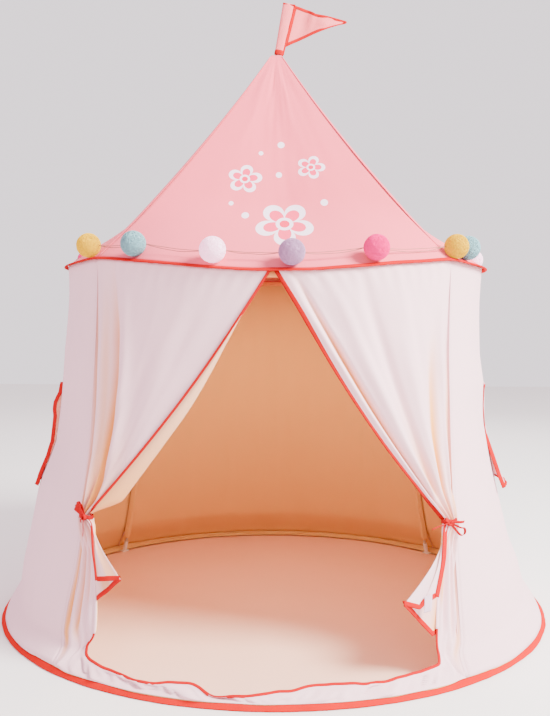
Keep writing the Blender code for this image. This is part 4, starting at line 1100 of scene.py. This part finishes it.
def build_rings():
    count = 360
    angles = [TAU * index / count for index in range(count)]
    points, sides = [], []
    for angle in angles:
        wobble = 0.0010 * rough(math.cos(angle) * 6, math.sin(angle) * 6, 1)
        points.append(around(angle, EAVE_RADIUS + 0.0056,
                             eave_height(angle) + eave_rise(angle) - 0.0006 + wobble))
        droop = 0.42 + 0.30 * rough(math.cos(angle) * 4, math.sin(angle) * 4, 3)
        sides.append(outward(points[-1]) - UP * droop)
    widths = [mix(0.80, 1.05, smooth((math.remainder(angle, TAU) + rad(50)) / rad(90))) for angle in angles]
    sweep("eave_edge", points, sides, oval(0.0108, 0.0036, sides=12), CORAL_TAPE, closed=True,
          widths=widths, slot="coral_cloth", node="eave_tape")

    rod_low, rod_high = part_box("eave_hoop_rod_back")
    rod_radius, drop = rod_high[1] - HOOP_ROD_RADIUS, (rod_low[2] + rod_high[2]) / 2 - EAVE_HEIGHT
    points = [around(angle, rod_radius, eave_height(angle) + drop) for angle in angles]
    sweep("eave_pocket", points, [UP] * count, oval(0.0122, 0.0122), POCKET_CLOTH, closed=True,
          slot="pink_cloth")

    def channel(angle):
        """The sleeve inside, coloured with painted warm light and shade, from the floor sheet up over the
        hoop to the white edge.
        """
        end = white_edge(angle) - 0.0002
        return ((0.5655, 0.0044), (0.5720, 0.0058), (0.5790, 0.0080), (0.5830, 0.0096), (end, 0.0104),
                (end, 0.0016), (0.5790, 0.0012), (0.5656, 0.0034))

    def rim(angle):
        """Flat coral cloth over the hoop, from the white edge out to the floor."""
        start = white_edge(angle)
        places = [(start + 0.0002, 0.0008), (start, 0.0088)]
        for share in (0, 0.2, 0.4, 0.6, 0.8, 0.93, 1):
            radius = mix(start, RIM_RADIUS, share)
            places.append((radius, table_value(RIM_TOP, radius)))
        return places + [(0.5990, 0.0007), (0.5930, 0.0006)]

    build_foot("base_channel", channel, CHANNEL_CLOTH, "white_cloth")
    build_foot("base_rim", rim, BASE_TAPE, "coral_cloth")


def build_foot(name, section, material, slot):
    """A section carried round the foot hoop, a little uneven as it lies."""
    count = 480
    ring = len(section(0))
    verts, uvs, faces = [], [], []
    for index in range(count):
        angle = TAU * index / count
        c, s = math.cos(angle), math.sin(angle)
        lift = max(0, rough(c * 3.5, s * 3.5, 2)) * 0.0010
        corner = math.exp(-(math.remainder(angle + rad(97), TAU) / rad(7)) ** 2)
        for number, (radius, height) in enumerate(section(angle)):
            grow = smooth((radius - 0.590) / 0.008)
            wave = 0.0012 * rough(c * 7, s * 7, 4) + 0.0007 * rough(c * 30, s * 30, 7) - 0.0010
            raised = CONNECTOR_RISE * over_connector(angle) * smooth((height - 0.003) / 0.006)
            verts.append(around(angle, radius + wave * grow,
                                height + raised + (lift + 0.007 * corner) * grow))
            uvs.append((angle * BASE_RADIUS, number / ring))
    for index in range(count):
        here, after = index * ring, (index + 1) % count * ring
        for corner in range(ring):
            following = (corner + 1) % ring
            faces.append((here + corner, after + corner, after + following, here + following))
    make(name, verts, faces, material, uvs, slot=slot, node="foot_sleeve")


def build_floor():
    rings, spokes = 40, 120
    verts, uvs, faces = [Vector((0, 0, FLOOR_HEIGHT))], [(0, 0)], []
    for ring in range(1, rings + 1):
        radius = FLOOR_RADIUS * ring / rings
        for spoke in range(spokes):
            angle = TAU * spoke / spokes
            point = around(angle, radius, 0)
            lift = 0.0022 * max(rough(point.x * 7, point.y * 7, 3), -0.2)
            lift += 0.0012 * abs(rough(point.x * 20, point.y * 5, 1))
            point.z = FLOOR_HEIGHT + lift * smooth((rings - ring) / 6)
            verts.append(point)
            uvs.append((point.x, point.y))
    for spoke in range(spokes):
        faces.append((0, 1 + spoke, 1 + (spoke + 1) % spokes))
    for ring in range(1, rings):
        for spoke in range(spokes):
            a, b = (ring - 1) * spokes + 1, ring * spokes + 1
            following = (spoke + 1) % spokes
            faces.append((a + spoke, b + spoke, b + following, a + following))
    made = make("floor_cloth", verts, faces, FLOOR_CLOTH, uvs, slot="white_cloth", node="floor_sheet")
    thicken(made, CLOTH)


# The windows

FLAP_LIFTS = {
    # How far the flap hangs off the wall, from its top to its bottom edge
    -1: ((0, 0), (0.06, 0.0003), (0.10, 0.0015), (0.15, 0.0078), (0.20, 0.0132), (0.26, 0.0138),
         (0.33, 0.0098),
         (0.54, 0.0085), (0.64, 0.0068), (0.72, 0.0040), (0.94, 0.0040), (1, 0.0055)),
    1: ((0, 0), (0.45, 0), (0.56, 0.0015), (0.69, 0.0075), (0.88, 0.0140), (1, 0.0200)),
}


def build_windows():
    for name, side in (("left", -1), ("right", 1)):
        middle = side * SIDE_ANGLE
        top, bottom = FLAP_TOP, FLAP_BOTTOM

        def flap_at(angle, height, side=side):
            share = (top - height) / (top - bottom)
            edge = abs(angle - side * SIDE_ANGLE) / FLAP_HALF
            wave = 0.0018 * rough(angle * 22, height * 14, 3) * smooth(share * 4)
            base = wall_at(angle, top)
            start = mix(wall_radius(top), math.hypot(base.x, base.y), 0.6) + 0.0019
            base = wall_at(angle, height)
            radius = math.hypot(base.x, base.y) + 0.0022
            lift = table_value(FLAP_LIFTS[side], share) * (1 - 0.25 * edge ** 2)
            radius = mix(start, radius, smooth(share / 0.04)) + lift + wave
            return around(angle, radius, height)

        columns = steps(middle - FLAP_HALF, middle + FLAP_HALF, 40)
        rows = steps(bottom, top - 0.012, 40) + [top - 0.006, top - 0.003, top]
        flap = sheet(f"flap_{name}", columns, rows, flap_at, FLAP_CLOTH, body=f"window_flap_{name}",
                     slot="white_cloth", node=f"window_flap_{name}")
        path = [(columns[0], row) for row in reversed(rows)] + [(column,
                                                                 rows[0]) for column in columns[1:-1]]
        path += [(columns[-1], row) for row in rows]
        points = [flap_at(*place) for place in path]
        centre = flap_at(middle, (top + bottom) / 2)
        lifted = [1 if side < 0 else smooth(((top - point.z) / (top - bottom) - 0.4) / 0.2)
                  for point in points]
        turned_out = [(centre - point).normalized() * mix(1.5, 0.45, share) + outward(point) * share
                      for point, share in zip(points, lifted)]
        edge = sweep(f"flap_edge_{name}", points, turned_out, oval(0.0088, 0.0028, shift=0.0010),
                     CORAL_TAPE, body=f"window_flap_{name}", slot="coral_cloth")
        build_net(name, middle)


def build_net(name, middle):
    """Knotted net in the opening, with a facing round it."""
    half, low, high = WINDOW_HALF, WINDOW_LOW, WINDOW_HIGH
    across, up = 38, 36
    verts = []
    for j in range(up + 1):
        for i in range(across + 1):
            angle = mix(middle - half, middle + half, i / across)
            height = mix(low, high, j / up)
            verts.append(wall_at(turned(angle, height), height, -0.0004))
    row = across + 1
    corners = [j * row + i for j in range(up) for i in range(across)]
    faces = [(here, here + 1, here + row + 1, here + row) for here in corners]
    net = make(f"net_{name}", verts, faces, NET, smooth_shade=False)
    wires = net.modifiers.new("Threads", "WIREFRAME")
    wires.thickness = 0.0007
    wires.use_even_offset = False
    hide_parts(f"window_net_{name}")
    start, end = middle - half, middle + half
    points = [(angle, high) for angle in steps(start, end, 30)[:-1]]
    points += [(end, height) for height in steps(high, low, 24)[:-1]]
    points += [(angle, low) for angle in steps(end, start, 30)[:-1]]
    points += [(start, height) for height in steps(low, high, 24)[:-1]]
    path = [wall_at(turned(angle, height), height, 0.0006) for angle, height in points]
    centre = wall_at(middle, (low + high) / 2)
    sweep(f"window_facing_{name}", path, [centre - point for point in path], oval(0.010, 0.0016),
          SEAM_WHITE, closed=True, slot="white_cloth")


# The flag

def build_flag():
    place = Matrix.Translation((0, 0, HUB_HEIGHT)) @ Matrix.Rotation(MAST_LEAN, 4, "Y")
    start, length, half = 0.0285, 0.1155, 0.0105
    count, sides = 40, 40
    verts, uvs, faces = [], [], []

    def spread(share):
        """How far the sleeve reaches towards the pennant, from its centre line."""
        return half * mix(0.90, 1.65, share)

    for j in range(count + 1):
        up = start + length * j / count
        near, far = half * mix(0.88, 1.0, j / count), spread(j / count)
        for i in range(sides):
            turn = TAU * i / sides
            c, s = math.cos(turn), math.sin(turn)
            crease = 0.0006 * rough(c * 2, up * 60, 5)
            x = bulge(c, 0.85) * (far if c > 0 else near)
            y = bulge(s, 1.1) * (0.0047 + crease)
            verts.append(place @ Vector((x, y, up)))
            uvs.append((turn * 0.008, up))
    for j in range(count):
        for i in range(sides):
            following = (i + 1) % sides
            here, above = j * sides, (j + 1) * sides
            faces.append((here + i, here + following, above + following, above + i))
    sleeve = make("flag_sleeve_cloth", verts, faces, FLAG_CLOTH, uvs, body="flag", slot="pink_cloth",
                  node="flag_sleeve")
    thicken(sleeve, 0.0007)

    ring = []
    for index in range(40):
        turn = TAU * index / 40
        c, s = math.cos(turn), math.sin(turn)
        ring.append(place @ Vector((bulge(c, 0.85) * half * 0.92, bulge(s, 1.1) * 0.0055, 0.034)))
    hem = sweep("flag_hem", ring, [place.to_3x3() @ UP] * 40, oval(0.011, 0.0016), CORAL_TAPE, body="flag",
                closed=True, slot="coral_cloth")

    # The pennant's top and bottom edges, in shares of its length and height, from the sleeve outward
    top = ((0.0, 1.0), (0.14, 0.975), (0.28, 0.945), (0.40, 0.885), (0.55, 0.878), (0.75, 0.872),
           (1.0, 0.865))
    bottom = ((0.0, 0.0), (0.12, 0.13), (0.26, 0.26), (0.45, 0.43), (0.7, 0.64), (0.88, 0.775), (1.0, 0.85))
    foot, wide, tall = start + length - 0.0945, 0.128, 0.093

    def flag_at(along, share):
        low, high = table_value(bottom, along), table_value(top, along)
        wave = 0.0045 * math.sin(along * 7.5 + 0.4) * smooth(along * 3) + 0.002 * rough(along * 6,
                                                                                        share * 2, 3)
        fold = -0.0035 * math.exp(-((along - 0.36) / 0.07) ** 2) * share
        up = foot + tall * mix(low, high, share)
        left = spread((up - start) / length) - 0.0006
        return place @ Vector((left + (wide - left + half) * along, wave + fold, up))

    columns, rows = steps(0, 0.985, 60), steps(0, 1, 24)
    pennant = sheet("pennant_cloth", columns, rows, flag_at, FLAG_CLOTH, body="flag", thickness=0.0006,
                    slot="pink_cloth", node="pennant")
    path = [(0.0, share) for share in steps(0.5, 0, 12)] + [(along, 0.0) for along in columns[1:]]
    path += [(0.985, share) for share in steps(0, 1, 4)[1:]] + [(along,
                                                                 1.0) for along in reversed(columns[:-1])]
    path += [(0.0, share) for share in steps(1, 0.5, 12)[1:-1]]
    points = [flag_at(*item) for item in path]
    centre = flag_at(0.35, 0.55)
    bound = sweep("pennant_edge", points, [centre - point for point in points],
                  oval(0.0068, 0.0022, shift=0.0018),
                  CORAL_TAPE, body="flag", closed=True, slot="coral_cloth")
    seam_points = [place @ Vector((spread(s) - 0.0012, -0.0010, start + length * s)) for s in steps(0.02,
                                                                                                    0.995,
                                                                                                    30)]
    seam = sweep("flag_seam", seam_points, [place.to_3x3() @ Vector((1, 0, 0))] * 31, oval(0.0062, 0.0044),
                 CORAL_TAPE, body="flag", slot="coral_cloth")
    top_ring = [place @ Vector((mix(-half, spread(1), s), 0,
                                start + length - 0.0008 - 0.001 * math.sin(math.pi * s)))
                for s in steps(0, 1, 16)]
    cap = sweep("flag_top_edge", top_ring, [place.to_3x3() @ UP] * 17, oval(0.0042, 0.0110), CORAL_TAPE,
                body="flag", slot="coral_cloth")


# The string of balls

BALL_NODES = {angle: f"garland_ball_{index:02d}_{colour}" for index,
              (angle, colour) in enumerate(GARLAND, start=1)}


def ball_frame(angle):
    box_low, box_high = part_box(BALL_NODES[angle])
    return (Vector(box_low) + Vector(box_high)) / 2, sideways(rad(angle))


def build_ball(index, angle, colour):
    """A core with thread wound round it in rings, each off the centre by a little."""
    centre, _ = ball_frame(angle)
    pick = random.Random(100 + index)
    verts, faces = [], []
    core = BALL_RADIUS - 0.0013
    rings, spokes = 14, 24
    for j in range(1, rings):
        turn = math.pi * j / rings
        for i in range(spokes):
            spin = TAU * i / spokes
            out = Vector((math.sin(turn) * math.cos(spin), math.sin(turn) * math.sin(spin), math.cos(turn)))
            verts.append(centre + out * core)
    for j in range(rings - 2):
        for i in range(spokes):
            a, b = j * spokes, (j + 1) * spokes
            following = (i + 1) % spokes
            faces.append((a + i, b + i, b + following, a + following))
    verts += [centre + UP * core, centre - UP * core]
    for i in range(spokes):
        following = (i + 1) % spokes
        faces.append((len(verts) - 2, i, following))
        last = (rings - 2) * spokes
        faces.append((len(verts) - 1, last + following, last + i))
    for _ in range(64):
        axis = Vector((pick.gauss(0, 1), pick.gauss(0, 1), pick.gauss(0, 1))).normalized()
        first = axis.orthogonal().normalized()
        second = axis.cross(first)
        offset = pick.uniform(-0.45, 0.45) * BALL_RADIUS
        radius = BALL_RADIUS - 0.0006 - pick.uniform(0, 0.0005)
        small = math.sqrt(radius ** 2 - offset ** 2)
        base = len(verts)
        count, sides, thick = 30, 4, 0.00052
        for i in range(count):
            turn = TAU * i / count
            out = first * math.cos(turn) + second * math.sin(turn)
            middle = out * small + axis * offset
            normal = middle.normalized()
            for k in range(sides):
                bend = TAU * k / sides
                verts.append(centre + middle + normal * math.cos(bend) * thick
                             + axis * math.sin(bend) * thick)
        for i in range(count):
            for k in range(sides):
                a, b = base + i * sides, base + (i + 1) % count * sides
                following = (k + 1) % sides
                faces.append((a + k, b + k, b + following, a + following))
    make(f"ball_{index:02d}_{colour}", verts, faces, THREADS[colour], slot=f"ball_{colour}",
         node=BALL_NODES[angle])


def wire_points(slack):
    """From ball to ball, sagging a little, and lying on the roof where it would pass through it."""
    points = []
    for index, (angle, _) in enumerate(GARLAND):
        centre, along = ball_frame(angle)
        inner = centre - outward(centre) * 0.012
        if index:
            start, end = points[-1], inner - along * 0.016
            count = max(int((end - start).length / 0.012), 2)
            for step in range(1, count):
                share = step / count
                point = start.lerp(end, share)
                low = 4 * share * (1 - share)
                sag = slack * (end - start).length * low
                point.z -= sag + 0.0012 * rough(angle + share * 4, slack * 90) * low
                turn = math.atan2(point.x, -point.y)
                up = (point.z - eave_height(turn)) / (APEX_HEIGHT - eave_height(turn))
                skin = roof_at(turn, max(up, 0.0), 0.0020)
                if math.hypot(point.x, point.y) < math.hypot(skin.x, skin.y):
                    point.x, point.y = skin.x, skin.y
                points.append(point)
        points += [inner - along * 0.016, inner - along * 0.006, inner + along * 0.006,
                   inner + along * 0.016]
    return points


def build_wire():
    for number, slack in ((1, 0.020), (2, 0.050)):
        path = smooth_path(wire_points(slack), 700)
        made = sweep(f"wire_strand_{number}", path, [UP] * len(path), oval(WIRE_WIDTH, WIRE_WIDTH, sides=6),
                     WIRE, slot="wire")
        if number == 1:
            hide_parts("garland_wire")
        # The length is this route's own, so the length check doesn't test it
        round(lengths(path)[-1], 3)


# Camera, lights and floor

def add_light(name, spot, size, power, colour, aim=None):
    """A round soft light, which looks straight down if it has no aim."""
    light = bpy.data.lights.new(name, "AREA")
    light.shape = "DISK"
    light.size = size
    light.energy = power
    light.color = colour
    lamp = bpy.data.objects.new(name, light)
    lamp.location = spot
    if aim:
        lamp.rotation_euler = (Vector(aim) - Vector(spot)).to_track_quat("-Z", "Y").to_euler()
    scene.collection.objects.link(lamp)


def build_stage():
    bpy.ops.mesh.primitive_plane_add(size=14, location=(0, 0, -0.0002))
    floor = bpy.context.object
    floor.name = "studio_floor"
    made, _, shader = start_material("studio_floor", 0.9)
    shader.inputs["Base Color"].default_value = (0.82, 0.75, 0.74, 1)
    floor.data.materials.append(made)

    world = bpy.data.worlds.new("studio")
    world.use_nodes = True
    world.node_tree.nodes["Background"].inputs[0].default_value = (1.0, 0.90, 0.955, 1)
    world.node_tree.nodes["Background"].inputs[1].default_value = 1.72
    scene.world = world

    add_light("key", (2.75, -1.78, 3.05), 1.7, 820, (0.91, 1.0, 0.94), aim=(0.1, 0, 0.7))
    add_light("fill", (-3.2, -1.8, 1.4), 2.4, 26, (1.0, 0.45, 0.90), aim=(0, 0, 0.6))
    add_light("back", (0.5, 3.2, 2.4), 2.4, 60, (1.0, 0.97, 0.96), aim=(0, 0, 0.7))
    add_light("inner", (0, 0.0, 0.73), 0.45, 5.0, (1.0, 0.70, 0.45))


def build_camera():
    data = bpy.data.cameras.new("camera")
    data.sensor_fit = "AUTO"
    data.sensor_width = 36
    data.lens = 856 * 36 / 716
    camera = bpy.data.objects.new("camera", data)
    yaw, pitch, roll, distance, height = -0.0096, rad(2.15), 0.0047, 1.956, 0.623
    spot = Vector((-distance * math.sin(yaw), -distance * math.cos(yaw), height))
    ahead = Vector((-spot.x, -spot.y, 0)).normalized() * math.cos(pitch) - UP * math.sin(pitch)
    right = ahead.cross(UP).normalized()
    above = right.cross(ahead)
    c, s = math.cos(roll), math.sin(roll)
    right, above = right * c + above * s, above * c - right * s
    camera.matrix_world = Matrix.Translation(spot) @ Matrix((right, above, -ahead)).transposed().to_4x4()
    scene.collection.objects.link(camera)
    scene.camera = camera


def dress_frame():
    for name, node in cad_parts.items():
        if "connector" in name or name == "apex_hub":
            material = CONNECTOR
        elif "pole" in name or "hoop_rod" in name or name == "flag_mast":
            material = ROD
        else:
            continue
        for slot in node.material_slots:
            slot.material = material


build_camera()
build_stage()
dress_frame()
build_roof()
build_walls()
build_wall_seams()
build_pockets()
build_band()
build_curtains()
build_ties()
build_rings()
build_floor()
build_windows()
build_flag()
for number, (angle, colour) in enumerate(GARLAND, start=1):
    build_ball(number, angle, colour)
build_wire()
